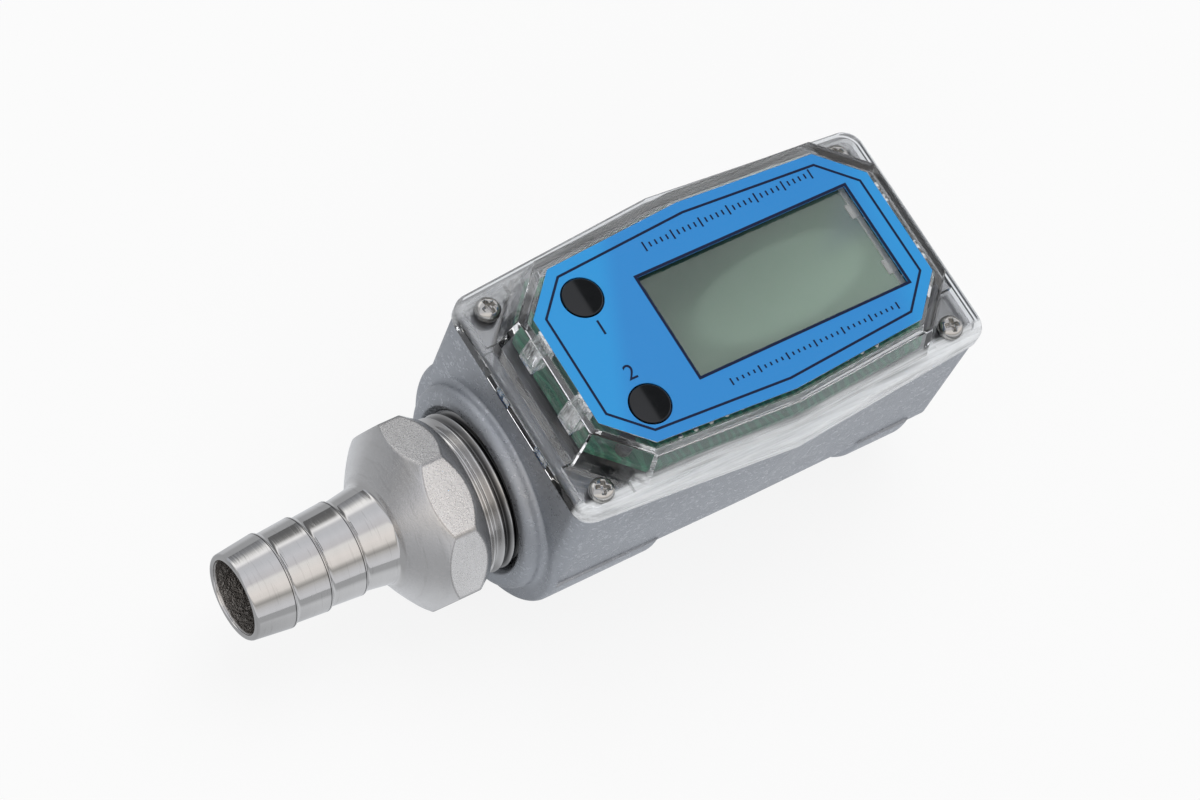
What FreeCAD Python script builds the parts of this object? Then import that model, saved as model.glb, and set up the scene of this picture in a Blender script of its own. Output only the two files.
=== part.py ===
"""In-line turbine flow meter with a hose tail, an electronic register and a clear cover.

The flow axis is X and the liquid runs towards +X.  The origin is the centre of the outlet
port's face.  The register looks up along +Z.  All lengths are in millimetres.
"""
import FreeCAD, Part
import math
import os

Vector = FreeCAD.Vector

# ---- clearances -------------------------------------------------------------------
running_fit = 0.03          # shaft in its bushes, on the radius
press_fit = 0.01            # pressed and glued pieces, on the radius
slip_fit = 0.05             # pieces pushed in by hand, on each side
loose_fit = 0.2             # holes round screws, on the radius
button_clearance = 0.3      # holes round buttons and plungers, on the radius
blade_clearance = 0.45      # blade tips to the chamber wall
past = 1.0                  # how far a cutting shape runs past the metal
same_place = 1e-6           # points closer than this are one point

# ---- cast body --------------------------------------------------------------------
body_length = 102.0
barrel_radius = 23.8
barrel_inset = 3.6          # barrel ends short of each port face
barrel_edge_round = 1.8
collar_radius = 21.6
collar_edge_round = 2.2
collar_root_round = 1.4
deck_height = 29.4          # joint with the cover, above the flow axis
box_inset = 4.0             # box end at its lower edge, from the port face
box_half_width = 24.9
box_bow = 0.35              # how far the long sides stand out at mid-length
box_drop = 1.5              # lower edge of the box, below the flow axis
box_corner_round = 2.2
saddle_radius = 25.5        # raised bands round the underside
saddle_edge_round = 1.3
inlet_saddle_width = 26.4
outlet_saddle_width = 14.0
outlet_saddle_inset = 10.0  # outlet band, from the outlet face
foot_drop = 26.1            # underside of the feet, below the flow axis
foot_half_width = 11.0
foot_inset = 2.5            # foot ends inside its band
foot_corner_round = 2.0
bay_half_length = 29.0      # battery bay
bay_half_width = 17.4
bay_depth = 11.4            # bay floor below the deck
bay_corner_round = 3.0

# ---- ports and flow chamber -------------------------------------------------------
thread_radius = 16.6        # one-inch pipe thread, outside
thread_clearance = 0.1
port_depth = 17.0
port_mouth_radius = 17.9
chamber_radius = 12.5
chamber_length = 16.0
support_wall = 1.0
support_length = 16.0
ring_thickness = 1.0
ring_width = 2.2
ring_gap_half_angle = 24.0
ring_eye_turn = 6.0         # eye centre beyond the gap
ring_eye_radius = 1.7
ring_eye_hole_radius = 0.7
groove_depth = 0.9

# ---- turbine ----------------------------------------------------------------------
blade_count = 6
blade_twist = 58.0          # degrees over the rotor's length
blade_root_thickness = 1.7
blade_tip_thickness = 0.9
blade_stations = 6
blade_tip_ease = 1.2        # bevel of the tips' corners
rotor_length = 11.0
hub_radius = 4.6
shaft_radius = 1.25
shaft_length = 30.0
shaft_chamfer = 0.3
shaft_end_gap = 0.5
bush_radius = 2.6
bush_length = 6.0
bush_rise = 1.0             # bush stands out of its hub
vane_count = 4
vane_thickness = 1.4
vane_start = 1.0            # from the hub's flat end
vane_length = 13.0
vane_sink = 0.8             # vanes run into hub and ring
hub_nose_length = 4.6
hub_nose_round = 6.4
hub_nose_tip = 0.9
magnet_radius = 1.1
magnet_depth = 2.4
magnet_count = 2            # between blades, evenly spaced

# ---- hose tail --------------------------------------------------------------------
thread_length = 19.0
thread_exposed = 6.0
thread_end_chamfer = 1.0
octagon_flats = 37.3
octagon_length = 8.8        # to where the front cone starts on the corners
octagon_turn = 84.0         # degrees from +Y to one corner
octagon_chamfer = 2.3
cone_length = 5.8           # front cone, down to the shoulder
shoulder_radius = 13.3
shoulder_run = 1.6          # steep face from shoulder to neck
shoulder_root_round = 1.2
neck_radius = 10.3
neck_length = 8.9
neck_land = 1.0             # straight part of the neck
barb_crest_radius = 9.9
barb_root_radius = 9.3
barb_pitch = 7.85
barb_count = 3
barb_land = 0.35
tip_length = 8.3
tip_radius = 9.0
tip_round = 0.7
tip_flare = 1.4             # opening of the bore at the tip
tail_bore_radius = 7.75
tail_mouth_radius = 13.0
tail_mouth_depth = 4.0

# ---- face panel, cover and flange -------------------------------------------------
panel_half_length = 39.6
panel_end_half_width = 12.0
panel_chamfer = 8.2
panel_mid_half_width = 22.2
panel_thickness = 0.3
cover_rise = 12.4           # face of the register above the deck
plateau_top_margin = 2.7    # cover's top edge outside the panel
plateau_base_margin = 4.7   # cover's wall at the flange, outside the panel
flange_half_length = 48.5
flange_end_half_width = 25.5
flange_mid_half_width = 29.3
flange_corner_round = 4.2
flange_thickness = 3.2
flange_edge_round = 0.9     # round of the flange's top edge
plateau_edge_round = 0.5
flange_overhang = 0.4       # flange outside the body's deck
pocket_rim = 1.9
pocket_floor = 1.8          # flange left under each screw head
cover_wall = 2.2
cover_top = 1.8
gasket_margin = 3.6         # inner edge outside the panel
gasket_width = 1.5
gasket_thickness = 1.2
lug_spacing = 14.2
lug_width = 4.4
lug_reach = 1.6
lug_drop = 6.4
root_overlap = 0.5          # lugs and posts run into the cover's top

# ---- cover screws -----------------------------------------------------------------
screw_half_spacing_x = 41.75
screw_half_spacing_y = 21.2
screw_radius = 1.5
screw_length = 13.0
screw_head_radius = 2.6
screw_head_height = 2.2
screw_head_round = 1.0
screw_recess_depth = 1.3
screw_recess_width = 0.75
screw_recess_half_length = 1.6
tapped_depth = 3.0          # hole left below the screw's end

# ---- register ---------------------------------------------------------------------
board_thickness = 1.6
board_clearance = 1.0       # board edge to the cover's wall
board_drop = 7.0            # board's top face below the register's face
display_centre_x = 8.75
display_centre_y = -0.35
window_length = 49.6
window_width = 23.3
glass_length = 51.0
glass_width = 27.0
glass_centre_x = 7.2
glass_thickness = 2.4
glass_gap = 0.3
glass_ledge = 1.5           # lower plate beyond the upper one
holder_wall = 1.2
holder_corner_round = 1.0
holder_clip_height = 0.25
holder_clip_width = 3.2
holder_clip_reach = 0.9
strip_width = 2.2
strip_end_gap = 2.0
button_x = -28.3
button_half_spacing = 12.45
button_radius = 4.1
button_rise = 0.4
button_travel = 0.6
button_skirt_radius = 5.2
button_skirt_height = 1.0
button_rest_gap = 0.1
button_edge_round = 0.25
switch_side = 6.2
switch_height = 2.6
plunger_radius = 1.7
plunger_rest_gap = 0.4      # plunger end to the fully pressed place
switch_floor = 0.2
post_half_spacing_x = 37.0
post_half_spacing_y = 7.1
post_radius = 1.5
board_screw_radius = 0.8
board_screw_length = 5.0
board_screw_head_radius = 1.7
board_screw_head_height = 1.2
board_screw_head_round = 0.5
controller_side = 7.0
controller_height = 1.4
chip_size = (2.0, 1.2, 0.8)
chip_pitch = 3.0
chip_offset = 6.5           # row of chips, from the controller's middle
can_radius = 1.6
can_height = 2.2
can_place = (-34.2, 15.9)
capacitor_size = (1.6, 3.2, 1.0)
capacitor_place = (37.0, 12.6)

# ---- pickup and battery -----------------------------------------------------------
pocket_radius = 5.0
pocket_wall = 1.3           # metal between pickup and chamber
bobbin_clearance = 0.3
bobbin_flange = 0.8
bobbin_core_radius = 2.2
spool_rise = 2.8            # bobbin's upper flange above the bay floor
bobbin_neck_radius = 3.0
pickup_core_radius = 1.0
pickup_core_end_gap = 1.0   # core and its hole stop short of the board
cell_radius = 5.25
cell_length = 44.5
cell_nub_radius = 1.9
cell_nub_length = 1.2
cell_edge_round = 0.6
cell_nub_round = 0.3
cell_floor_gap = 0.5
contact_thickness = 0.4
contact_side = 7.0
tray_end_wall = 2.4
tray_side_wall = 0.8
tray_web = 0.6              # between a cell and the pickup pocket
tray_corner_round = 1.5

# ---- places that follow from the sizes --------------------------------------------
middle = -body_length / 2
inlet_face = -body_length
face_height = deck_height + cover_rise
bay_floor_height = deck_height - bay_depth
plateau_inner_top = face_height - cover_top
flange_top = deck_height + flange_thickness
pocket_height = deck_height + pocket_floor
board_top = face_height - board_drop
board_bottom = board_top - board_thickness
glass_top = plateau_inner_top - glass_gap
glass_bottom = glass_top - glass_thickness
support_seat = chamber_length / 2
support_radius = chamber_radius + support_wall
cell_centre_height = bay_floor_height + cell_floor_gap + cell_radius
cell_offset = pocket_radius + tray_web + cell_radius
skirt_top = plateau_inner_top - button_rest_gap
skirt_bottom = skirt_top - button_skirt_height
bobbin_bottom = chamber_radius + pocket_wall
spool_top = bay_floor_height + spool_rise
cone_start = thread_exposed + octagon_length
neck_start = cone_start + cone_length
first_crest = neck_start + neck_length
tail_tip = first_crest + (barb_count - 1) * barb_pitch + tip_length
both = (-1, 1)


# ---- drawing helpers --------------------------------------------------------------
def plan(x, y, z):
    """A point drawn from above, measured from the middle of the body."""
    return Vector(middle + x, y, z)


def corner_arc(before, corner, after, radius):
    """Start, middle and end of the arc that rounds a corner."""
    to_before = (before - corner).normalize()
    to_after = (after - corner).normalize()
    half = to_before.getAngle(to_after) / 2
    bisector = (to_before + to_after).normalize()
    reach = radius / math.tan(half)
    centre = corner + bisector * (radius / math.sin(half))
    return corner + to_before * reach, centre - bisector * radius, corner + to_after * reach


def rounded_wire(points, radii):
    """A closed wire through points, with each corner rounded by its radius."""
    if not isinstance(radii, (list, tuple)):
        radii = [radii] * len(points)
    edges = []
    ends = []
    for i, corner in enumerate(points):
        if radii[i] > 0:
            start, mid, end = corner_arc(points[i - 1], corner, points[(i + 1) % len(points)], radii[i])
            ends.append((start, end, Part.Arc(start, mid, end).toShape()))
        else:
            ends.append((corner, corner, None))
    for i, (start, end, arc) in enumerate(ends):
        previous_end = ends[i - 1][1]
        if previous_end.distanceToPoint(start) > same_place:
            edges.append(Part.makeLine(previous_end, start))
        if arc:
            edges.append(arc)
    return Part.Wire(edges)


def outline_at(outline, height, radii=0.0):
    """A plan outline as a wire at one height."""
    return rounded_wire([plan(x, y, height) for x, y in outline], radii)


def slab(outline, low, high, radii=0.0):
    """A flat piece between two heights."""
    return Part.Face(outline_at(outline, low, radii)).extrude(Vector(0, 0, high - low))


def tapered(low_outline, low, high_outline, high, low_radii=0.0, high_radii=0.0):
    """A piece whose straight sides lean from one outline to another."""
    wires = [outline_at(low_outline, low, low_radii), outline_at(high_outline, high, high_radii)]
    return Part.makeLoft(wires, True, True)


def turned(profile, radii=0.0):
    """A piece turned about the flow axis from (x, radius) points, x from the outlet face."""
    wire = rounded_wire([Vector(x, 0, r) for x, r in profile], radii)
    return Part.Face(wire).revolve(Vector(0, 0, 0), Vector(1, 0, 0), 360)


def post(x, y, low, high, radius):
    """A round piece standing on the plan."""
    return Part.makeCylinder(radius, high - low, plan(x, y, low))


def block(x0, x1, y0, y1, z0, z1):
    """A square-cornered piece, x from the middle of the body."""
    return Part.makeBox(x1 - x0, y1 - y0, z1 - z0, plan(x0, y0, z0))


def rod(x0, x1, radius, y=0.0, z=0.0):
    """A round piece lying along X, x from the middle of the body."""
    return Part.makeCylinder(radius, x1 - x0, plan(x0, y, z), Vector(1, 0, 0))


def edges_at(shape, height):
    """Edges of a piece that lie at one height."""
    return [edge for edge in shape.Edges if abs(edge.CenterOfMass.z - height) < same_place]


def about_flow_axis(shape, degrees):
    return shape.rotated(Vector(0, 0, 0), Vector(1, 0, 0), degrees)


def facing_outlet(shape):
    """The same piece at the other end of the body."""
    return shape.rotated(plan(0, 0, 0), Vector(0, 0, 1), 180)


def joined(shapes):
    return shapes[0].multiFuse(shapes[1:]).removeSplitter()


# ---- plan outlines ----------------------------------------------------------------
def rectangle(half_length, half_width, x=0.0, y=0.0):
    return [(x - half_length, y - half_width), (x + half_length, y - half_width),
            (x + half_length, y + half_width), (x - half_length, y + half_width)]


def bowed_rectangle(half_length, end_half_width, mid_half_width):
    """A rectangle whose long sides stand out to a corner at mid-length."""
    return [(-half_length, -end_half_width), (0, -mid_half_width), (half_length, -end_half_width),
            (half_length, end_half_width), (0, mid_half_width), (-half_length, end_half_width)]


def panel_outline():
    """Ten corners: bowed long sides and cut corners."""
    a = panel_half_length
    b = panel_end_half_width
    c = panel_half_length - panel_chamfer
    d = panel_end_half_width + panel_chamfer
    e = panel_mid_half_width
    return [(-a, -b), (-c, -d), (0, -e), (c, -d), (a, -b), (a, b), (c, d), (0, e), (-c, d), (-a, b)]


def grown(outline, distance):
    """The outline moved outwards by a distance, corner by corner."""
    moved = []
    count = len(outline)
    for i, (x, y) in enumerate(outline):
        bx, by = outline[i - 1]
        ax, ay = outline[(i + 1) % count]
        n0 = Vector(y - by, bx - x, 0).normalize()
        n1 = Vector(ay - y, x - ax, 0).normalize()
        mitre = (n0 + n1) * (distance / (1 + n0.dot(n1)))
        moved.append((x + mitre.x, y + mitre.y))
    return moved


def plateau_outline(height, inset=0.0):
    """The cover's leaning wall at one height."""
    share = (face_height - height) / (face_height - pocket_height)
    margin = plateau_top_margin + share * (plateau_base_margin - plateau_top_margin)
    return grown(panel_outline(), margin - inset)


def flange_outline(inset=0.0):
    outline = bowed_rectangle(flange_half_length, flange_end_half_width, flange_mid_half_width)
    return grown(outline, -inset)


def bowed_radii(radius):
    """Corner radii of a bowed rectangle, which keeps its mid-length corners sharp."""
    return [radius, 0, radius, radius, 0, radius]


# ---- cast body --------------------------------------------------------------------
def barrel():
    """Round casting with a collar at each port and a raised disc behind the inlet collar."""
    disc = inlet_face + barrel_inset
    disc_back = inlet_face + box_inset + past
    out = -barrel_inset
    profile = [(inlet_face, 0), (inlet_face, collar_radius), (disc, collar_radius),
               (disc, saddle_radius), (disc_back, saddle_radius), (disc_back, barrel_radius),
               (out, barrel_radius), (out, collar_radius), (0, collar_radius), (0, 0)]
    radii = [0, collar_edge_round, collar_root_round, saddle_edge_round, 0, 0,
             barrel_edge_round, collar_root_round, collar_edge_round, 0]
    return turned(profile, radii)


def register_box():
    """Upper box, which widens from its lower edge to the bowed deck."""
    low = bowed_rectangle(body_length / 2 - box_inset, box_half_width, box_half_width + box_bow)
    high = flange_outline(flange_overhang)
    low_radii = bowed_radii(box_corner_round)
    high_radii = bowed_radii(flange_corner_round - flange_overhang)
    return tapered(low, -box_drop, high, deck_height, low_radii, high_radii)


def saddle(start, end):
    """Raised band round the underside, with a flat foot."""
    x0 = inlet_face + start
    x1 = inlet_face + end
    band = turned([(x0, 0), (x0, saddle_radius), (x1, saddle_radius), (x1, 0)],
                  [0, saddle_edge_round, saddle_edge_round, 0])
    reach = saddle_radius + past
    lower_half = block(x0 - middle - past, x1 - middle + past, -reach, reach, -reach, 0)
    f0 = x0 - middle + foot_inset
    f1 = x1 - middle - foot_inset
    foot = slab(rectangle((f1 - f0) / 2, foot_half_width, (f0 + f1) / 2), -foot_drop, 0, foot_corner_round)
    return band.common(lower_half).fuse(foot)


def flow_passage():
    """Ports, support seats and the turbine chamber, as one turned cut."""
    port = thread_radius + thread_clearance
    seat = support_radius + slip_fit
    half = body_length / 2
    steps = [(half + past, port_mouth_radius + past), (half - (port_mouth_radius - port), port),
             (half - port_depth, port), (half - port_depth, seat), (support_seat, seat),
             (support_seat, chamber_radius)]
    right = [(middle + x, r) for x, r in steps]
    left = [(middle - x, r) for x, r in reversed(steps)]
    return turned([(middle - half - past, 0)] + left[::-1] + right[::-1] + [(middle + half + past, 0)])


def ring_grooves():
    x0 = support_seat + support_length
    groove = rod(x0, x0 + ring_thickness + slip_fit, support_radius + slip_fit + groove_depth)
    return [groove, facing_outlet(groove)]


def screw_places():
    return [(sx * screw_half_spacing_x, sy * screw_half_spacing_y) for sx in both for sy in both]


def meter_body():
    outlet_band_end = body_length - outlet_saddle_inset
    body = joined([barrel(), register_box(), saddle(barrel_inset, barrel_inset + inlet_saddle_width),
                   saddle(outlet_band_end - outlet_saddle_width, outlet_band_end)])
    cuts = [flow_passage()] + ring_grooves()
    cuts.append(slab(rectangle(bay_half_length, bay_half_width), bay_floor_height, deck_height + past,
                     bay_corner_round))
    cuts.append(post(0, 0, chamber_radius + pocket_wall, bay_floor_height + past, pocket_radius))
    cuts.append(gasket_ring(slip_fit, slip_fit))
    hole_bottom = pocket_height - screw_length - tapped_depth
    for x, y in screw_places():
        cuts.append(post(x, y, hole_bottom, deck_height + past, screw_radius + slip_fit))
    return body.cut(cuts)


def gasket_ring(side_gap=0.0, depth_gap=0.0):
    """Moulded ring that lies in a groove of the deck."""
    outer = grown(panel_outline(), gasket_margin + gasket_width + side_gap)
    inner = grown(panel_outline(), gasket_margin - side_gap)
    low = deck_height - gasket_thickness - depth_gap
    return slab(outer, low, deck_height).cut(slab(inner, low, deck_height))


# ---- clear cover and face ---------------------------------------------------------
def screw_pockets():
    """Sunk corners round the screws, between the wall and the rim."""
    rim = slab(flange_outline(pocket_rim), pocket_height, flange_top + past,
               bowed_radii(flange_corner_round - pocket_rim))
    corner_x = panel_half_length + plateau_base_margin - panel_chamfer
    corner_y = panel_end_half_width + plateau_base_margin * math.tan(math.pi / 8)
    corners = []
    for sx in both:
        x0, x1 = sorted((sx * corner_x, sx * flange_half_length))
        for sy in both:
            y0, y1 = sorted((sy * corner_y, sy * flange_mid_half_width))
            corners.append(block(x0, x1, y0, y1, pocket_height, flange_top + past))
    return rim.common(Part.makeCompound(corners))


def button_places():
    return [(button_x, s * button_half_spacing + display_centre_y) for s in (1, -1)]


def post_places():
    return [(sx * post_half_spacing_x, sy * post_half_spacing_y) for sx in both for sy in both]


def lug_blocks(low, high, gap=0.0):
    """Lugs inside each short end, which keep the board central."""
    edge = panel_half_length + plateau_top_margin - cover_wall
    half = lug_width / 2 + gap
    blocks = []
    for sx in both:
        x0, x1 = sorted((sx * (edge - lug_reach - gap), sx * (edge + cover_wall / 2)))
        for sy in both:
            y = sy * lug_spacing / 2
            blocks.append(block(x0, x1, y - half, y + half, low, high))
    return blocks


def plateau():
    """Leaning ten-sided block with softened edges, before it is hollowed."""
    shape = tapered(plateau_outline(deck_height), deck_height, plateau_outline(face_height), face_height)
    bottom = edges_at(shape, deck_height)
    soft = [edge for edge in shape.Edges if not any(edge.isSame(other) for other in bottom)]
    return shape.makeFillet(plateau_edge_round, soft)


def flange():
    """Bowed plate under the cover, with a rounded top edge."""
    plate = slab(flange_outline(), deck_height, flange_top, bowed_radii(flange_corner_round))
    return plate.makeFillet(flange_edge_round, edges_at(plate, flange_top))


def clear_cover():
    shell = joined([flange().cut(screw_pockets()), plateau()])
    cavity = tapered(plateau_outline(deck_height, cover_wall), deck_height,
                     plateau_outline(plateau_inner_top, cover_wall), plateau_inner_top)
    posts = [post(x, y, board_top, plateau_inner_top + root_overlap, post_radius)
             for x, y in post_places()]
    lugs = lug_blocks(plateau_inner_top - lug_drop, plateau_inner_top + root_overlap)
    shell = joined([shell.cut(cavity)] + lugs + posts)
    cuts = [slab(grown(panel_outline(), slip_fit), face_height - panel_thickness, face_height + past)]
    cuts += [post(x, y, plateau_inner_top - past, face_height, button_radius + button_clearance)
             for x, y in button_places()]
    cuts += [post(x, y, deck_height - past, flange_top, screw_radius + loose_fit)
             for x, y in screw_places()]
    cuts += [post(x, y, board_top - past, board_bottom + board_screw_length + root_overlap,
                  board_screw_radius + press_fit) for x, y in post_places()]
    return shell.cut(cuts)


def face_panel():
    panel = slab(panel_outline(), face_height - panel_thickness, face_height)
    cuts = [slab(rectangle(window_length / 2, window_width / 2, display_centre_x, display_centre_y),
                 face_height - past, face_height + past)]
    cuts += [post(x, y, face_height - past, face_height + past, button_radius + button_clearance)
             for x, y in button_places()]
    return panel.cut(cuts)


def cover_screw(x, y):
    head_low = pocket_height
    head_high = head_low + screw_head_height
    head = post(x, y, head_low, head_high, screw_head_radius)
    head = head.makeFillet(screw_head_round, edges_at(head, head_high))
    shank = post(x, y, head_low - screw_length, head_low, screw_radius)
    long_half = screw_recess_half_length
    slot = screw_recess_width / 2
    bottom = head_high - screw_recess_depth
    cross = block(x - long_half, x + long_half, y - slot, y + slot, bottom, head_high + past).fuse(
        block(x - slot, x + slot, y - long_half, y + long_half, bottom, head_high + past))
    return joined([head, shank]).cut(cross)


# ---- register ---------------------------------------------------------------------
def circuit_board():
    board = slab(plateau_outline(board_bottom, cover_wall + board_clearance), board_bottom, board_top)
    cuts = [post(x, y, board_bottom - past, board_top + past, board_screw_radius + loose_fit)
            for x, y in post_places()]
    return board.cut(cuts + lug_blocks(board_bottom - past, board_top + past, loose_fit))


def board_block(size, x, y):
    """One box-shaped piece on the board's top face."""
    length, width, height = size
    return slab(rectangle(length / 2, width / 2, x, y), board_top, board_top + height)


def board_components():
    """Controller, chips, cans and capacitors on the board's top face."""
    pieces = [board_block((controller_side, controller_side, controller_height),
                          button_x, display_centre_y)]
    pieces += [board_block(chip_size, button_x + chip_offset, row * chip_pitch) for row in (-1, 0, 1)]
    can_x, can_y = can_place
    pieces += [post(can_x, side * can_y, board_top, board_top + can_height, can_radius) for side in both]
    capacitor_x, capacitor_y = capacitor_place
    pieces += [board_block(capacitor_size, capacitor_x, side * capacitor_y) for side in both]
    return Part.makeCompound(pieces)


def board_screw(x, y):
    head = post(x, y, board_bottom - board_screw_head_height, board_bottom, board_screw_head_radius)
    head = head.makeFillet(board_screw_head_round, edges_at(head, board_bottom - board_screw_head_height))
    shank = post(x, y, board_bottom, board_bottom + board_screw_length, board_screw_radius)
    return joined([head, shank])


def glass_rectangle(margin=0.0):
    return rectangle(glass_length / 2 + margin, glass_width / 2 + margin, glass_centre_x, display_centre_y)


def lcd_glass():
    """Upper plate and the longer lower plate that carries the contacts."""
    mid = (glass_bottom + glass_top) / 2
    short = rectangle(glass_length / 2, glass_width / 2 - glass_ledge, glass_centre_x, display_centre_y)
    return joined([slab(glass_rectangle(), glass_bottom, mid), slab(short, mid, glass_top)])


def lcd_strips():
    """Rubber contact strips between board and glass."""
    reach = glass_width / 2 - strip_width / 2
    half_length = glass_length / 2 - strip_end_gap
    outlines = [rectangle(half_length, strip_width / 2, glass_centre_x, display_centre_y + side * reach)
                for side in both]
    return Part.makeCompound([slab(outline, board_top, glass_bottom) for outline in outlines])


def lcd_holder():
    """Clear frame that stands on the board, with clips over the glass."""
    frame = slab(glass_rectangle(slip_fit + holder_wall), board_top, glass_top, holder_corner_round)
    frame = frame.cut(slab(glass_rectangle(slip_fit), board_top, glass_top))
    clips = []
    for sx in both:
        x0, x1 = sorted((glass_centre_x + sx * (glass_length / 2 - holder_clip_reach),
                         glass_centre_x + sx * (glass_length / 2 + holder_wall)))
        for sy in both:
            y = display_centre_y + sy * glass_width / 4
            clips.append(block(x0, x1, y - holder_clip_width / 2, y + holder_clip_width / 2,
                               glass_top, glass_top + holder_clip_height))
    return joined([frame] + clips)


def button(x, y):
    """Round cap with a skirt that stops it under the cover."""
    cap_top = face_height + button_rise
    cap = post(x, y, skirt_top, cap_top, button_radius)
    cap = cap.makeFillet(button_edge_round, edges_at(cap, cap_top))
    skirt = post(x, y, skirt_bottom, skirt_top, button_skirt_radius)
    return joined([cap, skirt])


def plunger(x, y):
    return post(x, y, board_top + button_travel + plunger_rest_gap, skirt_bottom, plunger_radius)


def switch_housings():
    housings = []
    for x, y in button_places():
        case = slab(rectangle(switch_side / 2, switch_side / 2, x, y), board_top, board_top + switch_height)
        well = post(x, y, board_top + switch_floor, face_height, plunger_radius + button_clearance)
        housings.append(case.cut(well))
    return Part.makeCompound(housings)


# ---- pickup -----------------------------------------------------------------------
def pickup_bobbin():
    flange_radius = pocket_radius - bobbin_clearance
    spool = joined([post(0, 0, bobbin_bottom, bobbin_bottom + bobbin_flange, flange_radius),
                    post(0, 0, bobbin_bottom, spool_top, bobbin_core_radius),
                    post(0, 0, spool_top - bobbin_flange, spool_top, flange_radius),
                    post(0, 0, spool_top, board_bottom, bobbin_neck_radius)])
    return spool.cut(post(0, 0, bobbin_bottom - past, board_bottom - pickup_core_end_gap,
                          pickup_core_radius + press_fit))


def pickup_winding():
    outer = post(0, 0, bobbin_bottom + bobbin_flange, spool_top - bobbin_flange,
                 pocket_radius - 2 * bobbin_clearance)
    return outer.cut(post(0, 0, bobbin_bottom, spool_top, bobbin_core_radius + press_fit))


def pickup_core():
    return post(0, 0, bobbin_bottom, board_bottom - pickup_core_end_gap, pickup_core_radius)


# ---- battery ----------------------------------------------------------------------
def cell(side):
    x0 = middle - cell_length / 2
    can_end = x0 + cell_length - cell_nub_length
    x1 = x0 + cell_length
    profile = [(x0, 0), (x0, cell_radius), (can_end, cell_radius), (can_end, cell_nub_radius),
               (x1, cell_nub_radius), (x1, 0)]
    shape = turned(profile, [0, cell_edge_round, cell_edge_round, 0, cell_nub_round, 0])
    return shape.translated(Vector(0, side * cell_offset, cell_centre_height))


def contact_boxes(gap=0.0):
    """Flat contacts at the four cell ends."""
    half = contact_side / 2 + gap
    inner = cell_length / 2
    boxes = []
    for sx in both:
        x0, x1 = sorted((sx * (inner - gap), sx * (inner + contact_thickness + gap)))
        for side in both:
            y = side * cell_offset
            z = cell_centre_height
            boxes.append(block(x0, x1, y - half, y + half, z - half, z + half))
    return boxes


def battery_tray():
    """Cradle under the board, open below so the cells lift out."""
    half_length = cell_length / 2 + contact_thickness + tray_end_wall
    half_width = cell_offset + cell_radius + slip_fit + tray_side_wall
    tray = slab(rectangle(half_length, half_width), cell_centre_height - cell_radius / 2, board_bottom,
                tray_corner_round)
    tunnel = cell_length / 2 + slip_fit
    cuts = [rod(-tunnel, tunnel, cell_radius + slip_fit, side * cell_offset, cell_centre_height)
            for side in both]
    cuts += [block(-tunnel, tunnel, side * cell_offset - cell_radius - slip_fit,
                   side * cell_offset + cell_radius + slip_fit, 0, cell_centre_height) for side in both]
    cuts.append(post(0, 0, 0, board_bottom + past, pocket_radius))
    return tray.cut(cuts + contact_boxes(slip_fit))


# ---- turbine ----------------------------------------------------------------------
def blade_section(x, degrees):
    """Tapered bar from inside the hub to beyond the tips, at one station."""
    root = blade_root_thickness / 2
    tip = blade_tip_thickness / 2
    low = hub_radius - past
    high = chamber_radius + past
    points = [Vector(middle + x, -root, low), Vector(middle + x, root, low),
              Vector(middle + x, tip, high), Vector(middle + x, -tip, high)]
    wire = rounded_wire(points, 0.0)
    return about_flow_axis(wire, degrees)


def blade():
    sections = []
    for i in range(blade_stations):
        share = i / (blade_stations - 1) - 0.5
        sections.append(blade_section(share * rotor_length, share * blade_twist))
    return Part.makeLoft(sections, True, False)


def rotor_envelope():
    """Turned outline of the blade tips, with the corners eased."""
    half = rotor_length / 2
    tip = chamber_radius - blade_clearance
    ease = blade_tip_ease
    return turned([(middle - half, 0), (middle - half, tip - ease), (middle - half + ease, tip),
                   (middle + half - ease, tip), (middle + half, tip - ease), (middle + half, 0)])


def magnet(turn):
    pin = Part.makeCylinder(magnet_radius, magnet_depth, Vector(middle, 0, hub_radius - magnet_depth),
                            Vector(0, 0, 1))
    return about_flow_axis(pin, turn).common(rod(-rotor_length, rotor_length, hub_radius))


def magnet_turns():
    half_gap = 180 / blade_count
    return [half_gap + i * 360 / magnet_count for i in range(magnet_count)]


def turbine_rotor():
    blades = [about_flow_axis(blade(), i * 360 / blade_count) for i in range(blade_count)]
    bladed = joined([rod(-rotor_length / 2, rotor_length / 2, hub_radius)] + blades)
    rotor = bladed.common(rotor_envelope())
    cuts = [rod(-rotor_length, rotor_length, shaft_radius + press_fit)]
    for turn in magnet_turns():
        pin = Part.makeCylinder(magnet_radius + press_fit, magnet_depth + past,
                                Vector(middle, 0, hub_radius - magnet_depth - press_fit), Vector(0, 0, 1))
        cuts.append(about_flow_axis(pin, turn))
    return rotor.cut(cuts)


def rotor_shaft():
    half = shaft_length / 2
    end = shaft_radius - shaft_chamfer
    return turned([(middle - half, 0), (middle - half, end), (middle - half + shaft_chamfer, shaft_radius),
                   (middle + half - shaft_chamfer, shaft_radius), (middle + half, end), (middle + half, 0)])


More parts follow.
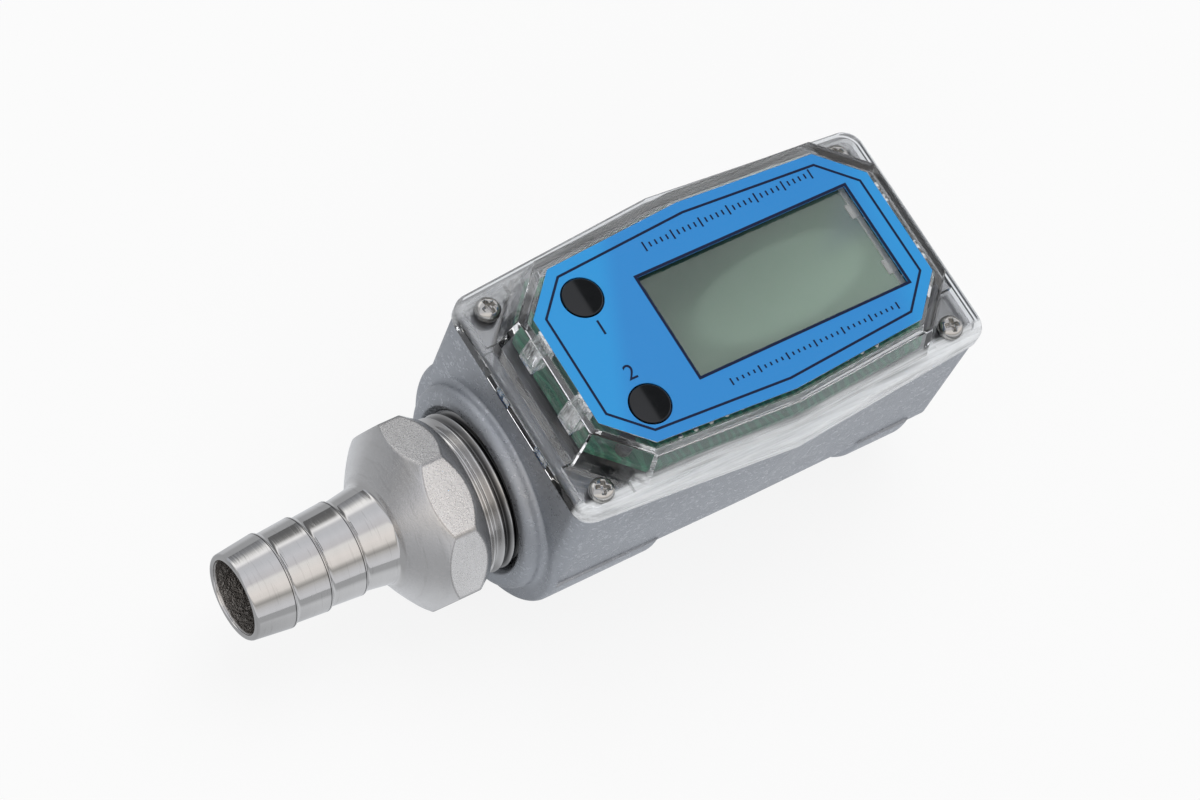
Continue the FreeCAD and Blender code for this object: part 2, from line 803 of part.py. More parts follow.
def outlet_straightener():
    """Ring, straight vanes and a rounded hub that holds the bush."""
    start = middle + support_seat
    end = start + support_length
    ring = rod(support_seat, support_seat + support_length, support_radius).cut(
        rod(support_seat - past, support_seat + support_length + past, chamber_radius))
    hub = turned([(start, 0), (start, hub_radius), (end - hub_nose_length, hub_radius),
                  (end, hub_nose_tip), (end, 0)], [0, 0, hub_nose_round, 0, 0])
    vanes = []
    reach = chamber_radius - hub_radius + 2 * vane_sink
    for i in range(vane_count):
        vane = Part.makeBox(vane_length, vane_thickness, reach,
                            Vector(start + vane_start, -vane_thickness / 2, hub_radius - vane_sink))
        vanes.append(about_flow_axis(vane, (i + 0.5) * 360 / vane_count))
    whole = joined([ring, hub] + vanes)
    seat = rod(support_seat - past, support_seat + bush_length, bush_radius + press_fit)
    end_room = rod(support_seat, shaft_length / 2 + shaft_end_gap, shaft_radius + loose_fit)
    return whole.cut([seat, end_room])


def outlet_bush():
    x0 = support_seat - bush_rise
    x1 = support_seat + bush_length
    return rod(x0, x1, bush_radius).cut(rod(x0 - past, x1 + past, shaft_radius + running_fit))


def outlet_ring():
    """Open ring sprung into its groove, with an eye at each end."""
    x0 = support_seat + support_length
    x1 = x0 + ring_thickness
    outside = support_radius + groove_depth - slip_fit
    inside = outside - ring_width
    ring = rod(x0, x1, outside).cut(rod(x0 - past, x1 + past, inside))
    gap = [Vector(middle + x0 - past, 0, 0)]
    for side in both:
        angle = math.radians(90 + side * ring_gap_half_angle)
        gap.append(gap[0] + Vector(0, math.cos(angle), math.sin(angle)) * (2 * outside))
    wedge = Part.Face(rounded_wire(gap, 0.0)).extrude(Vector(ring_thickness + 2 * past, 0, 0))
    eyes = []
    holes = []
    for side in both:
        angle = math.radians(90 + side * (ring_gap_half_angle + ring_eye_turn))
        y = inside * math.cos(angle)
        z = inside * math.sin(angle)
        eyes.append(rod(x0, x1, ring_eye_radius, y, z))
        holes.append(rod(x0 - past, x1 + past, ring_eye_hole_radius, y, z))
    return joined([ring.cut(wedge)] + eyes).cut(holes)


# ---- hose tail --------------------------------------------------------------------
def tail(distance):
    """Station along the hose tail, measured outwards from the inlet face."""
    return inlet_face - distance


def tail_outside():
    """Turned outside of thread, shoulder, neck and saw-tooth barbs."""
    inner_end = thread_exposed - thread_length
    neck_root = neck_start + shoulder_run
    profile = [(tail(inner_end), 0), (tail(inner_end), thread_radius - thread_end_chamfer),
               (tail(inner_end + thread_end_chamfer), thread_radius),
               (tail(thread_exposed), thread_radius), (tail(thread_exposed), shoulder_radius),
               (tail(neck_start), shoulder_radius), (tail(neck_root), neck_radius),
               (tail(neck_root + neck_land), neck_radius),
               (tail(first_crest - barb_land), barb_root_radius)]
    radii = [0.0] * len(profile)
    radii[6] = shoulder_root_round
    for i in range(barb_count):
        crest = first_crest + i * barb_pitch
        profile += [(tail(crest - barb_land), barb_crest_radius), (tail(crest), barb_crest_radius)]
        if i < barb_count - 1:
            profile.append((tail(crest + barb_pitch - barb_land), barb_root_radius))
    profile += [(tail(tail_tip), tip_radius), (tail(tail_tip), 0)]
    radii += [0.0] * (len(profile) - len(radii))
    radii[-2] = tip_round
    return turned(profile, radii)


def octagon():
    """Eight flats for a wrench, turned to a cone in front and chamfered behind."""
    corner = octagon_flats / 2 / math.cos(math.pi / 8)
    points = []
    for i in range(8):
        angle = math.radians(octagon_turn + i * 45)
        points.append(Vector(tail(thread_exposed), corner * math.cos(angle), corner * math.sin(angle)))
    length = neck_start - thread_exposed
    prism = Part.Face(rounded_wire(points, 0.0)).extrude(Vector(-length, 0, 0))
    envelope = turned([(tail(thread_exposed), 0), (tail(thread_exposed), corner - octagon_chamfer),
                       (tail(thread_exposed + octagon_chamfer), corner), (tail(cone_start), corner),
                       (tail(neck_start), shoulder_radius), (tail(neck_start), 0)])
    return prism.common(envelope)


def hose_tail():
    whole = joined([tail_outside(), octagon()])
    mouth = thread_exposed - thread_length
    bore = turned([(tail(tail_tip + past), 0), (tail(tail_tip + past), tail_bore_radius + tip_flare),
                   (tail(tail_tip + past - tip_flare), tail_bore_radius),
                   (tail(cone_start), tail_bore_radius),
                   (tail(mouth + tail_mouth_depth), tail_mouth_radius),
                   (tail(mouth - past), tail_mouth_radius), (tail(mouth - past), 0)])
    return whole.cut(bore)


# ---- assembly ---------------------------------------------------------------------
def group(shapes):
    return Part.makeCompound(list(shapes))


def assembly():
    calibrate, display = button_places()
    return {
        "meter_body": meter_body(),
        "hose_tail": hose_tail(),
        "inlet_straightener": facing_outlet(outlet_straightener()),
        "outlet_straightener": outlet_straightener(),
        "inlet_bush": facing_outlet(outlet_bush()),
        "outlet_bush": outlet_bush(),
        "inlet_retaining_ring": facing_outlet(outlet_ring()),
        "outlet_retaining_ring": outlet_ring(),
        "turbine_rotor": turbine_rotor(),
        "rotor_shaft": rotor_shaft(),
        "rotor_magnets": group(magnet(turn) for turn in magnet_turns()),
        "pickup_bobbin": pickup_bobbin(),
        "pickup_winding": pickup_winding(),
        "pickup_core": pickup_core(),
        "battery_tray": battery_tray(),
        "battery_cells": group(cell(side) for side in both),
        "battery_contacts": group(contact_boxes()),
        "circuit_board": circuit_board(),
        "board_components": board_components(),
        "board_screws": group(board_screw(x, y) for x, y in post_places()),
        "lcd_glass": lcd_glass(),
        "lcd_strips": lcd_strips(),
        "lcd_holder": lcd_holder(),
        "switch_housings": switch_housings(),
        "calibrate_button": button(*calibrate),
        "calibrate_plunger": plunger(*calibrate),
        "display_button": button(*display),
        "display_plunger": plunger(*display),
        "clear_cover": clear_cover(),
        "cover_gasket": gasket_ring(),
        "cover_screws": group(cover_screw(x, y) for x, y in screw_places()),
        "face_panel": face_panel(),
    }


os.makedirs("parts", exist_ok=True)
for name, shape in assembly().items():
    shape.exportStep("parts/" + name + ".step")
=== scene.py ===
"""Turbine flow meter: finishes, threads, print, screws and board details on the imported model."""
import math

import bmesh
import bpy
from mathutils import Matrix, Vector


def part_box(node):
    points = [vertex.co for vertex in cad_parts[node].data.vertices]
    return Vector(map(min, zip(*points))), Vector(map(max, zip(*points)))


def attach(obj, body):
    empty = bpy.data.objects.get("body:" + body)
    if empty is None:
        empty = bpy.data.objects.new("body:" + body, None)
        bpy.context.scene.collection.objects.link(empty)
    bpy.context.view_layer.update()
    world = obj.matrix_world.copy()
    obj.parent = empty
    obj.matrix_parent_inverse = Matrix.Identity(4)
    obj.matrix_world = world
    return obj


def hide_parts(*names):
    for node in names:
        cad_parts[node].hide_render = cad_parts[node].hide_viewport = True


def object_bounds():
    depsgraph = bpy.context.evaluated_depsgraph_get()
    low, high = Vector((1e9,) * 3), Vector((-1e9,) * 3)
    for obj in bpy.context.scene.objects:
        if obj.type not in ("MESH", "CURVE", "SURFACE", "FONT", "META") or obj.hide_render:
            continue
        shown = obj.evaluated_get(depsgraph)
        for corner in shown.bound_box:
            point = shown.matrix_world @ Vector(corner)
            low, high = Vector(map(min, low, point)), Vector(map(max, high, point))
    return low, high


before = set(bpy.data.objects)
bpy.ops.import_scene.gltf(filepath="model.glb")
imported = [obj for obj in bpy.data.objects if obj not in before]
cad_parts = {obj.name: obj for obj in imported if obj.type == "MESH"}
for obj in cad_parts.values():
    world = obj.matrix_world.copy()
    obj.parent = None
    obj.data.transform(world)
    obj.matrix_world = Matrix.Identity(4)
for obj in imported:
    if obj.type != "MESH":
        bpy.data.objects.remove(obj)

cad_box = [list(corner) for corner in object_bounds()]

bl_info = {
    "name": "Turbine flow meter",
    "version": (1, 0, 0),
    "blender": (4, 5, 0),
    "location": "3D View > Sidebar > Flow meter",
    "description": "Dresses a turbine flow meter with its finishes and fine pieces",
    "category": "Object",
}

MM = 0.001
ROOT = "meter"
INK_THICKNESS = 0.00003
FULL_TURN = 2 * math.pi


# ---- node graphs ------------------------------------------------------------------
class Signal:
    """A number that varies over a surface.  Arithmetic on it adds Math nodes."""

    def __init__(self, graph, socket):
        self.graph = graph
        self.socket = socket

    def __add__(self, other):
        return self.graph.maths("ADD", self, other)

    def __sub__(self, other):
        return self.graph.maths("SUBTRACT", self, other)

    def __rsub__(self, other):
        return self.graph.maths("SUBTRACT", other, self)

    def __mul__(self, other):
        return self.graph.maths("MULTIPLY", self, other)

    def __truediv__(self, other):
        return self.graph.maths("DIVIDE", self, other)

    def __abs__(self):
        return self.graph.maths("ABSOLUTE", self)

    __radd__ = __add__
    __rmul__ = __mul__

    def above(self, edge, soft):
        """0 below an edge and 1 above it, with a soft step between."""
        return self.graph.step(self, edge - soft, edge + soft)

    def below(self, edge, soft):
        """1 below an edge and 0 above it."""
        return 1 - self.above(edge, soft)


class Graph:
    """Adds nodes to one tree, for a material or for geometry."""

    def __init__(self, tree):
        self.tree = tree

    def node(self, kind, settings=None, inputs=None):
        """One node: its settings are set first, then the values or links of its sockets."""
        made = self.tree.nodes.new(kind)
        for name, value in (settings or {}).items():
            if name == "stops":
                self.set_stops(made.color_ramp, value)
            else:
                setattr(made, name, value)
        for key, value in (inputs or {}).items():
            self.feed(made.inputs[key], value)
        return made

    def feed(self, socket, value):
        """Links a socket to a signal or another socket, or sets it to a plain value."""
        if isinstance(value, Signal):
            value = value.socket
        if isinstance(value, bpy.types.NodeSocket):
            self.tree.links.new(value, socket)
        else:
            socket.default_value = value

    @staticmethod
    def set_stops(ramp, stops):
        """Fills a colour ramp from (place, colour) pairs."""
        while len(ramp.elements) < len(stops):
            ramp.elements.new(1.0)
        for element, (place, colour) in zip(ramp.elements, stops):
            element.position = place
            element.color = (*colour, 1.0)

    def maths(self, operation, *values):
        """One Math node on signals or plain numbers."""
        made = self.node("ShaderNodeMath", {"operation": operation}, dict(enumerate(values)))
        return Signal(self, made.outputs[0])

    def largest(self, *values):
        """The greatest of several signals or plain numbers."""
        most = values[0]
        for value in values[1:]:
            most = self.maths("MAXIMUM", most, value)
        return most

    def step(self, value, low, high):
        """0 up to one value and 1 from another, with a soft step between."""
        made = self.node("ShaderNodeMapRange", {"interpolation_type": "SMOOTHSTEP"},
                         {"Value": value, "From Min": low, "From Max": high})
        return Signal(self, made.outputs["Result"])

    def place(self):
        """Object coordinates, in metres."""
        return self.node("ShaderNodeTexCoord").outputs["Object"]

    def split(self, vector):
        """The three parts of a vector or a colour."""
        made = self.node("ShaderNodeSeparateXYZ", inputs={0: vector})
        return [Signal(self, socket) for socket in made.outputs]

    def stretched(self, vector, factors):
        """A vector with each axis scaled: a small factor draws a pattern out along it."""
        return self.node("ShaderNodeVectorMath", {"operation": "MULTIPLY"},
                         {0: vector, 1: factors}).outputs[0]

    def noise(self, vector, size, detail=2.0, roughness=0.5):
        """Cloudy variation from 0 to 1, with lumps of one size in metres."""
        made = self.node("ShaderNodeTexNoise", {"noise_dimensions": "3D"},
                         {"Vector": vector, "Scale": 1 / size, "Detail": detail,
                          "Roughness": roughness})
        return Signal(self, made.outputs["Fac"])

    def cells(self, vector, size):
        """A Voronoi node with cells of one size in metres."""
        return self.node("ShaderNodeTexVoronoi", inputs={"Vector": vector, "Scale": 1 / size})

    def blend(self, factor, first, second):
        """A colour between two colours."""
        made = self.node("ShaderNodeMix", {"data_type": "RGBA"}, {0: factor, 6: first, 7: second})
        return made.outputs[2]

    def bump(self, height, depth, normal=None):
        """Raised detail of one depth in metres."""
        inputs = {"Height": height, "Distance": depth}
        if normal is not None:
            inputs["Normal"] = normal
        return self.node("ShaderNodeBump", inputs=inputs).outputs["Normal"]

    def attribute(self, name):
        """A value that the mesh keeps for each point."""
        made = self.node("ShaderNodeAttribute", {"attribute_type": "GEOMETRY", "attribute_name": name})
        return Signal(self, made.outputs["Fac"])


def colour(rgb):
    """A setting's colour with full alpha."""
    return (*rgb, 1.0)


def new_material(name, **constants):
    """A material with one Principled shader, whose plain sockets are set here."""
    material = bpy.data.materials.new(name)
    material.use_nodes = True
    graph = Graph(material.node_tree)
    shader = material.node_tree.nodes["Principled BSDF"]
    for key, value in constants.items():
        shader.inputs[key.replace("_", " ")].default_value = value
    return material, graph, shader


def dress(node, material):
    """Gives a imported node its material."""
    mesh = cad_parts[node].data
    mesh.materials.clear()
    mesh.materials.append(material)


# ---- mesh helpers -----------------------------------------------------------------
def add_object(name, data, body=None):
    """A new object in the scene, which may ride on a body."""
    made = bpy.data.objects.new(name, data)
    bpy.context.scene.collection.objects.link(made)
    if body:
        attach(made, body)
    return made


def mesh_piece(name, points, faces, material, body=ROOT, smooth=False):
    """A new piece from points and faces."""
    mesh = bpy.data.meshes.new(name)
    mesh.from_pydata(points, [], faces)
    mesh.validate()
    mesh.materials.append(material)
    mesh.polygons.foreach_set("use_smooth", [smooth] * len(mesh.polygons))
    return add_object(name, mesh, body)


def outward(mesh):
    """Turns every face of a closed mesh outwards."""
    work = bmesh.new()
    work.from_mesh(mesh)
    bmesh.ops.remove_doubles(work, verts=work.verts, dist=1e-8)
    bmesh.ops.recalc_face_normals(work, faces=work.faces)
    work.to_mesh(mesh)
    work.free()


def grid_faces(rows, columns, closed_rows=False, closed_columns=True):
    """Quads of a grid of points listed row by row."""
    faces = []
    for i in range(rows if closed_rows else rows - 1):
        for j in range(columns if closed_columns else columns - 1):
            k = (j + 1) % columns
            m = (i + 1) % rows
            faces.append((i * columns + j, m * columns + j, m * columns + k, i * columns + k))
    return faces


def clamped(value):
    """The value, kept from 0 to 1."""
    return max(0.0, min(1.0, value))


def smooth_min(a, b, width):
    """The lesser of two values, with a rounded change-over."""
    share = clamped(0.5 + 0.5 * (b - a) / width)
    return b * (1 - share) + a * share - width * share * (1 - share)


def along(points, value):
    """Height of a broken line at one place."""
    for (x0, y0), (x1, y1) in zip(points, points[1:]):
        if value <= x1:
            return y0 + (y1 - y0) * (value - x0) / (x1 - x0) if x1 > x0 else y1
    return points[-1][1]


def grown(outline, distance):
    """A plan outline moved outwards, corner by corner."""
    moved = []
    for i, (x, y) in enumerate(outline):
        bx, by = outline[i - 1]
        ax, ay = outline[(i + 1) % len(outline)]
        n0 = Vector((y - by, bx - x)).normalized()
        n1 = Vector((ay - y, x - ax)).normalized()
        mitre = (n0 + n1) * (distance / (1 + n0.dot(n1)))
        moved.append((x + mitre.x, y + mitre.y))
    return moved


def line_ring(name, outline, width, low, high, material):
    """A printed line that follows a closed outline, width inwards from it."""
    inner = grown(outline, -width)
    count = len(outline)
    points = []
    for height in (low, high):
        points += [(x, y, height) for x, y in outline] + [(x, y, height) for x, y in inner]
    faces = []
    for i in range(count):
        k = (i + 1) % count
        faces.append((2 * count + i, 2 * count + k, 3 * count + k, 3 * count + i))
        faces.append((i, count + i, count + k, k))
        faces.append((i, k, 2 * count + k, 2 * count + i))
        faces.append((count + i, 3 * count + i, 3 * count + k, count + k))
    piece = mesh_piece(name, points, faces, material)
    outward(piece.data)
    return piece


def plain_mesh(source, name, material):
    """The evaluated shape of an object as a plain mesh piece, and the source removed."""
    bpy.context.view_layer.update()
    seen = source.evaluated_get(bpy.context.evaluated_depsgraph_get())
    mesh = bpy.data.meshes.new_from_object(seen)
    mesh.name = name
    mesh.transform(source.matrix_world)
    mesh.materials.clear()
    mesh.materials.append(material)
    data = source.data
    bpy.data.objects.remove(source)
    if isinstance(data, bpy.types.Curve):
        bpy.data.curves.remove(data)
    return add_object(name, mesh, ROOT)


def merged_copy(node, name, material):
    """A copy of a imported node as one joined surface, free to be finished."""
    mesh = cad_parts[node].data.copy()
    mesh.name = name
    mesh.materials.clear()
    mesh.materials.append(material)
    if "custom_normal" in mesh.attributes:
        mesh.attributes.remove(mesh.attributes["custom_normal"])
    work = bmesh.new()
    work.from_mesh(mesh)
    bmesh.ops.remove_doubles(work, verts=work.verts, dist=1e-6)
    bmesh.ops.dissolve_degenerate(work, edges=work.edges, dist=1e-7)
    bmesh.ops.recalc_face_normals(work, faces=work.faces)
    work.to_mesh(mesh)
    work.free()
    return add_object(name, mesh, ROOT)


def flat_groups(work, turn=math.radians(0.5)):
    """Area of the flat region that each face belongs to."""
    area = {}
    for first in work.faces:
        if first in area:
            continue
        region = [first]
        found = {first}
        for face in region:
            for edge in face.edges:
                for other in edge.link_faces:
                    if other not in found and other.normal.angle(first.normal, 0.0) < turn:
                        found.add(other)
                        region.append(other)
        whole = sum(face.calc_area() for face in region)
        area.update((face, whole) for face in region)
    return area


def shade_rounds(mesh, sharp=math.radians(38)):
    """Smooth shading over rounded edges, with the flats between them kept flat."""
    work = bmesh.new()
    work.from_mesh(mesh)
    work.faces.ensure_lookup_table()
    area = flat_groups(work)
    normals = []
    for face in work.faces:
        for corner in face.loops:
            total = Vector()
            for other in corner.vert.link_faces:
                if other.normal.angle(face.normal, 0.0) < sharp:
                    total += other.normal * area[other]
            normals.append(total.normalized())
    work.free()
    mesh.polygons.foreach_set("use_smooth", [True] * len(mesh.polygons))
    mesh.normals_split_custom_set(normals)


def turned_piece(name, profile, place, columns, material, body, height_at=None):
    """A closed piece turned about a vertical axis, from (radius, height) points.

    Where a point has no height, height_at gives it from the point's x and y."""
    points = []
    for radius, height in profile:
        for j in range(columns):
            a = FULL_TURN * j / columns
            x, y = radius * math.cos(a), radius * math.sin(a)
            z = height_at(x, y) if height is None else height
            points.append((place[0] + x, place[1] + y, z))
    faces = grid_faces(len(profile), columns)
    faces.append(tuple(range(columns)))
    faces.append(tuple((len(profile) - 1) * columns + j for j in range(columns)))
    piece = mesh_piece(name, points, faces, material, body, smooth=True)
    outward(piece.data)
    return piece


# ---- geometry node helpers --------------------------------------------------------
def new_tree(name, inputs):
    """An empty geometry tree with named inputs.  Returns graph, group input and output."""
    tree = bpy.data.node_groups.new(name, "GeometryNodeTree")
    tree.is_modifier = True
    tree.interface.new_socket(name="Geometry", in_out="INPUT", socket_type="NodeSocketGeometry")
    for label, kind in inputs:
        tree.interface.new_socket(name=label, in_out="INPUT", socket_type=kind)
    tree.interface.new_socket(name="Geometry", in_out="OUTPUT", socket_type="NodeSocketGeometry")
    graph = Graph(tree)
    return graph, graph.node("NodeGroupInput"), graph.node("NodeGroupOutput")


def finish_tree(graph, given, result, geometry):
    """Ends a tree: instances are made real and get the given material."""
    real = graph.node("GeometryNodeRealizeInstances", inputs={0: geometry})
    finish = graph.node("GeometryNodeSetMaterial", inputs={
        "Geometry": real.outputs[0], "Material": given.outputs["Material"]})
    graph.feed(result.inputs[0], finish.outputs[0])


def run_tree(name, graph, values, material, base=None):
    """Runs a geometry tree on a base mesh and keeps the result as a plain piece."""
    mesh = base or bpy.data.meshes.new(name + "_base")
    source = add_object(name + "_base", mesh)
    modifier = source.modifiers.new("nodes", "NODES")
    modifier.node_group = graph.tree
    for item in graph.tree.interface.items_tree:
        if item.in_out == "INPUT" and item.name in values:
            modifier[item.identifier] = values[item.name]
    return plain_mesh(source, name, material)


def points_mesh(name, places):
    """Loose points, on which a tree puts its instances."""
    mesh = bpy.data.meshes.new(name)
    mesh.from_pydata(places, [], [])
    return mesh


# ---- sizes and colours a user may change ------------------------------------------
def length(label, words, size):
    """A length in metres."""
    return bpy.props.FloatProperty(name=label, description=words, default=size, min=0.0,
                                   unit="LENGTH", precision=5)


def fraction(label, words, value):
    """A share from 0 to 1."""
    return bpy.props.FloatProperty(name=label, description=words, default=value, min=0.0, max=1.0,
                                   subtype="FACTOR")


def level(label, words, value):
    """A brightness, in which 1 is white."""
    return bpy.props.FloatProperty(name=label, description=words, default=value, min=0.0, max=2.0)


def paint(label, words, rgb):
    """A colour."""
    return bpy.props.FloatVectorProperty(name=label, description=words, default=rgb, size=3,
                                         min=0.0, max=1.0, subtype="COLOR")


class HousingSettings(bpy.types.PropertyGroup):
    metal: paint("Metal", "Lighter tone of the blasted aluminium", (0.47, 0.49, 0.52))
    hollow: paint("Hollows", "Darker tone between the lumps of the skin", (0.37, 0.385, 0.41))
    # painted shade: the deck's dark colour stands in for the shade under the clear cover
    shaded_milled: paint("Milled deck", "Colour of the milled deck under the cover", (0.16, 0.165, 0.175))
    roughness: fraction("Roughness", "How dull the blasted skin is", 0.44)
    grain: length("Grain", "Size of the blasted grain", 0.00034)
    edge: length("Edge", "Softness of the casting's edges", 0.0008)


class FittingSettings(bpy.types.PropertyGroup):
    steel: paint("Steel", "Colour of the stainless steel", (0.66, 0.650, 0.638))
    dome: paint("Shoulder", "Colour of the satin shoulder", (0.68, 0.672, 0.665))
    flats: paint("Flats", "Colour of the blasted flats", (0.92, 0.905, 0.89))
    inner: paint("Bore", "Colour of the rough cast bore", (0.30, 0.28, 0.26))
    grain: length("Grain", "Size of the grain on the flats", 0.00036)
    thread_pitch: length("Thread pitch", "Distance between two thread crests", 0.0022)
    thread_depth: length("Thread depth", "Height of the thread", 0.0011)
    columns: bpy.props.IntProperty(name="Columns", description="Points round the fitting",
                                   default=256, min=64, max=512)
    row_step: length("Row step", "Distance between rings of points", 0.00016)


class PortSettings(bpy.types.PropertyGroup):
    pitch: length("Pitch", "Distance between two thread crests", 0.0022)
    depth: length("Depth", "Height of the thread in the outlet port", 0.0011)
    radius: length("Radius", "Radius of the outlet port", 0.0167)
    start: length("Start", "First thread crest, from the port's face", 0.0016)
    end: length("End", "Last thread crest, from the port's face", 0.0160)


class CoverSettings(bpy.types.PropertyGroup):
    tint: paint("Tint", "Colour of the clear plastic", (0.985, 0.99, 0.99))
    roughness: fraction("Roughness", "How dull the clear plastic is", 0.0)
    ior: bpy.props.FloatProperty(name="Index", description="Refractive index of the plastic",
                                 default=1.49, min=1.0, max=2.0)
    lift: length("Lift", "Air under the cover where it lies on the deck", 0.00006)
    wall_place: length("Misty wall", "Misty long walls, from the middle outwards", 0.0222)
    wall_mist: length("Mist", "Height of the mist in the long walls", 0.0058)
    lug_start: length("Lug start", "Inner side of the end lugs, from the middle", 0.0383)
    lug_end: length("Lug end", "Outer side of the end lugs, from the middle", 0.0402)
    lug_place: length("Lug place", "Middle of a lug, across the flow", 0.0071)
    lug_half_width: length("Lug width", "Half width of a lug", 0.0023)
    lug_low: length("Lug foot", "Lower end of the lugs' mist, over the deck", 0.0035)


class FaceSettings(bpy.types.PropertyGroup):
    blue: paint("Film", "Colour of the printed film", (0.025, 0.262, 0.675))
    pale_blue: paint("Pale film", "Colour of the film's paler ends", (0.024, 0.335, 0.770))
    ink: paint("Ink", "Colour of the printed lines and numbers", (0.006, 0.012, 0.045))
    border_inset: length("Border", "Border line, inwards from the film's edge", 0.0021)
    line_width: length("Line", "Width of the printed lines", 0.00050)
    end_half_width: length("End", "Half width of the film's short ends", 0.012)
    chamfer: length("Corner", "Length of the film's cut corners", 0.0082)
    window_length: length("Window length", "Length of the display window", 0.0496)
    window_width: length("Window width", "Width of the display window", 0.0233)
    window_x: length("Window place", "Middle of the window, from the middle of the film", 0.00875)
    window_y: bpy.props.FloatProperty(name="Window offset", description="Window across the film",
                                      default=-0.00035, unit="LENGTH", precision=5)
    upper_gap: length("Upper row", "From the window to the upper row of marks", 0.0052)
    lower_gap: length("Lower row", "From the window to the lower row of marks", 0.0036)
    numeral: length("Numeral", "Height of the numbers by the buttons", 0.0034)
    numeral_offset: length("Numeral place", "From the middle of a button to its number", 0.0072)
    tick_count: bpy.props.IntProperty(name="Ticks", description="Marks in each printed row",
                                      default=31, min=2, max=101)
    tick_height: length("Tick", "Height of the long marks", 0.0022)


class DisplaySettings(bpy.types.PropertyGroup):
    pale: paint("Pale", "Lighter tone of the display", (0.178, 0.272, 0.210))
    deep: paint("Deep", "Darker tone of the display", (0.012, 0.045, 0.028))
    roughness: fraction("Roughness", "How dull the display's polariser is", 0.22)


class ButtonSettings(bpy.types.PropertyGroup):
    black: paint("Black", "Colour of the caps", (0.004, 0.005, 0.006))
    roughness: fraction("Roughness", "How dull the caps are", 0.05)
    cap_radius: length("Cap", "Radius of a cap", 0.0041)
    dome: length("Dome", "Height of the dome on a cap", 0.00012)
    edge: length("Edge", "Round of a cap's edge", 0.0003)
    skirt_height: length("Skirt", "Height of the skirt under the cover", 0.001)


class ScrewSettings(bpy.types.PropertyGroup):
    plating: paint("Plating", "Colour of the nickel plating", (0.60, 0.59, 0.57))
    spacing_x: length("Spacing X", "Distance between screws along the flow", 0.0835)
    spacing_y: length("Spacing Y", "Distance between screws across the flow", 0.0424)
    head_radius: length("Head", "Radius of the head", 0.0026)
    head_height: length("Height", "Height of the head", 0.0022)
    recess: length("Recess", "Depth of the cross recess", 0.0013)
    shank_radius: length("Shank", "Radius of the shank", 0.0015)
    seed: bpy.props.IntProperty(name="Seed", description="Chooses how far each screw is turned",
                                default=4, min=0)


class BoardSettings(bpy.types.PropertyGroup):
    green: paint("Board", "Colour of the solder mask", (0.012, 0.105, 0.060))
    track: paint("Tracks", "Colour over the copper tracks", (0.030, 0.190, 0.105))
    solder: paint("Solder", "Colour of the solder", (0.62, 0.62, 0.60))
    joint_radius: length("Joint", "Radius of one solder joint", 0.00055)
    joint_pitch: length("Pitch", "Distance between solder joints", 0.0036)
    joint_row: length("Row", "Each row of joints, from the middle of the board", 0.0192)
    bare_end: length("Bare end", "Board without joints, at each end", 0.015)


class StageSettings(bpy.types.PropertyGroup):
    floor: paint("Floor", "Colour of the floor", (0.86, 0.86, 0.86))
    ambient: level("Ambient", "Strength of the soft light all round", 0.48)
    mirrored: level("Mirrored floor", "Brightness of the floor, as metal mirrors it", 0.82)
    shaded: level("Shaded floor", "The same, where the piece and the room shade it", 0.46)
    dark_room: level("Dark room", "Brightness of the dark parts of the mirrored room", 0.12)
    key: bpy.props.FloatProperty(name="Key", description="Power of the large soft light",
                                 default=5.4, min=0.0, unit="POWER")
    lens: bpy.props.FloatProperty(name="Lens", description="Focal length", default=126.0, min=1.0,
                                  unit="CAMERA")


SETTINGS = {
    "flow_housing": HousingSettings, "flow_fitting": FittingSettings, "flow_port": PortSettings,
    "flow_cover": CoverSettings, "flow_face": FaceSettings, "flow_display": DisplaySettings,
    "flow_buttons": ButtonSettings, "flow_screws": ScrewSettings, "flow_board": BoardSettings,
    "flow_stage": StageSettings,
}


# ---- materials --------------------------------------------------------------------
def blasted_aluminium(s, deck):
    """Matte casting with soft lumps, fine grain and bright specks, and a smooth machined deck that
    carries painted shade and a painted highlight strip.
    """
    material, graph, shader = new_material("blasted_aluminium", Metallic=1.0)
    place = graph.place()
    _, y, z = graph.split(place)
    lumps = graph.noise(place, 0.007, 3)
    grain = graph.noise(place, s.grain, 3, 0.7)
    specks = graph.cells(place, s.grain * 1.6)
    speck = graph.split(specks.outputs["Color"])[0]
    edges = graph.node("ShaderNodeBevel", {"samples": 6}, {"Radius": s.edge}).outputs[0]
    waves = graph.bump(graph.noise(place, 0.0026, 2), 0.00006, edges)
    grainy = z.below(deck - 0.0001, 0.00003)
    skin = graph.bump((grain + speck * 0.35) * grainy, 0.000065, waves)
    # painted shade: the smooth machined deck under the cover takes the dark deck colour instead of the
    # casting's
    shaded_milled = z.above(deck - 0.0010, 0.00003)
    streaks = graph.noise(graph.stretched(place, (0.12, 1.0, 1.0)), 0.0012, 2)
    # painted highlight: a bright streaky strip along the deck's near side, seen through the cover
    near_strip = y.below(-0.0235, 0.0008)
    painted_highlight = near_strip * (0.75 + streaks * 0.5)
    face = graph.blend(painted_highlight, colour(s.shaded_milled), (0.93, 0.94, 0.96, 1.0))
    cast = graph.blend(lumps, colour(s.hollow), colour(s.metal))
    glints = speck.above(0.86, 0.04) * (1 - shaded_milled)
    graph.feed(shader.inputs["Base Color"], graph.blend(shaded_milled, cast, face))
    graph.feed(shader.inputs["Roughness"], s.roughness - glints * 0.2)
    graph.feed(shader.inputs["Normal"], skin)
    return material


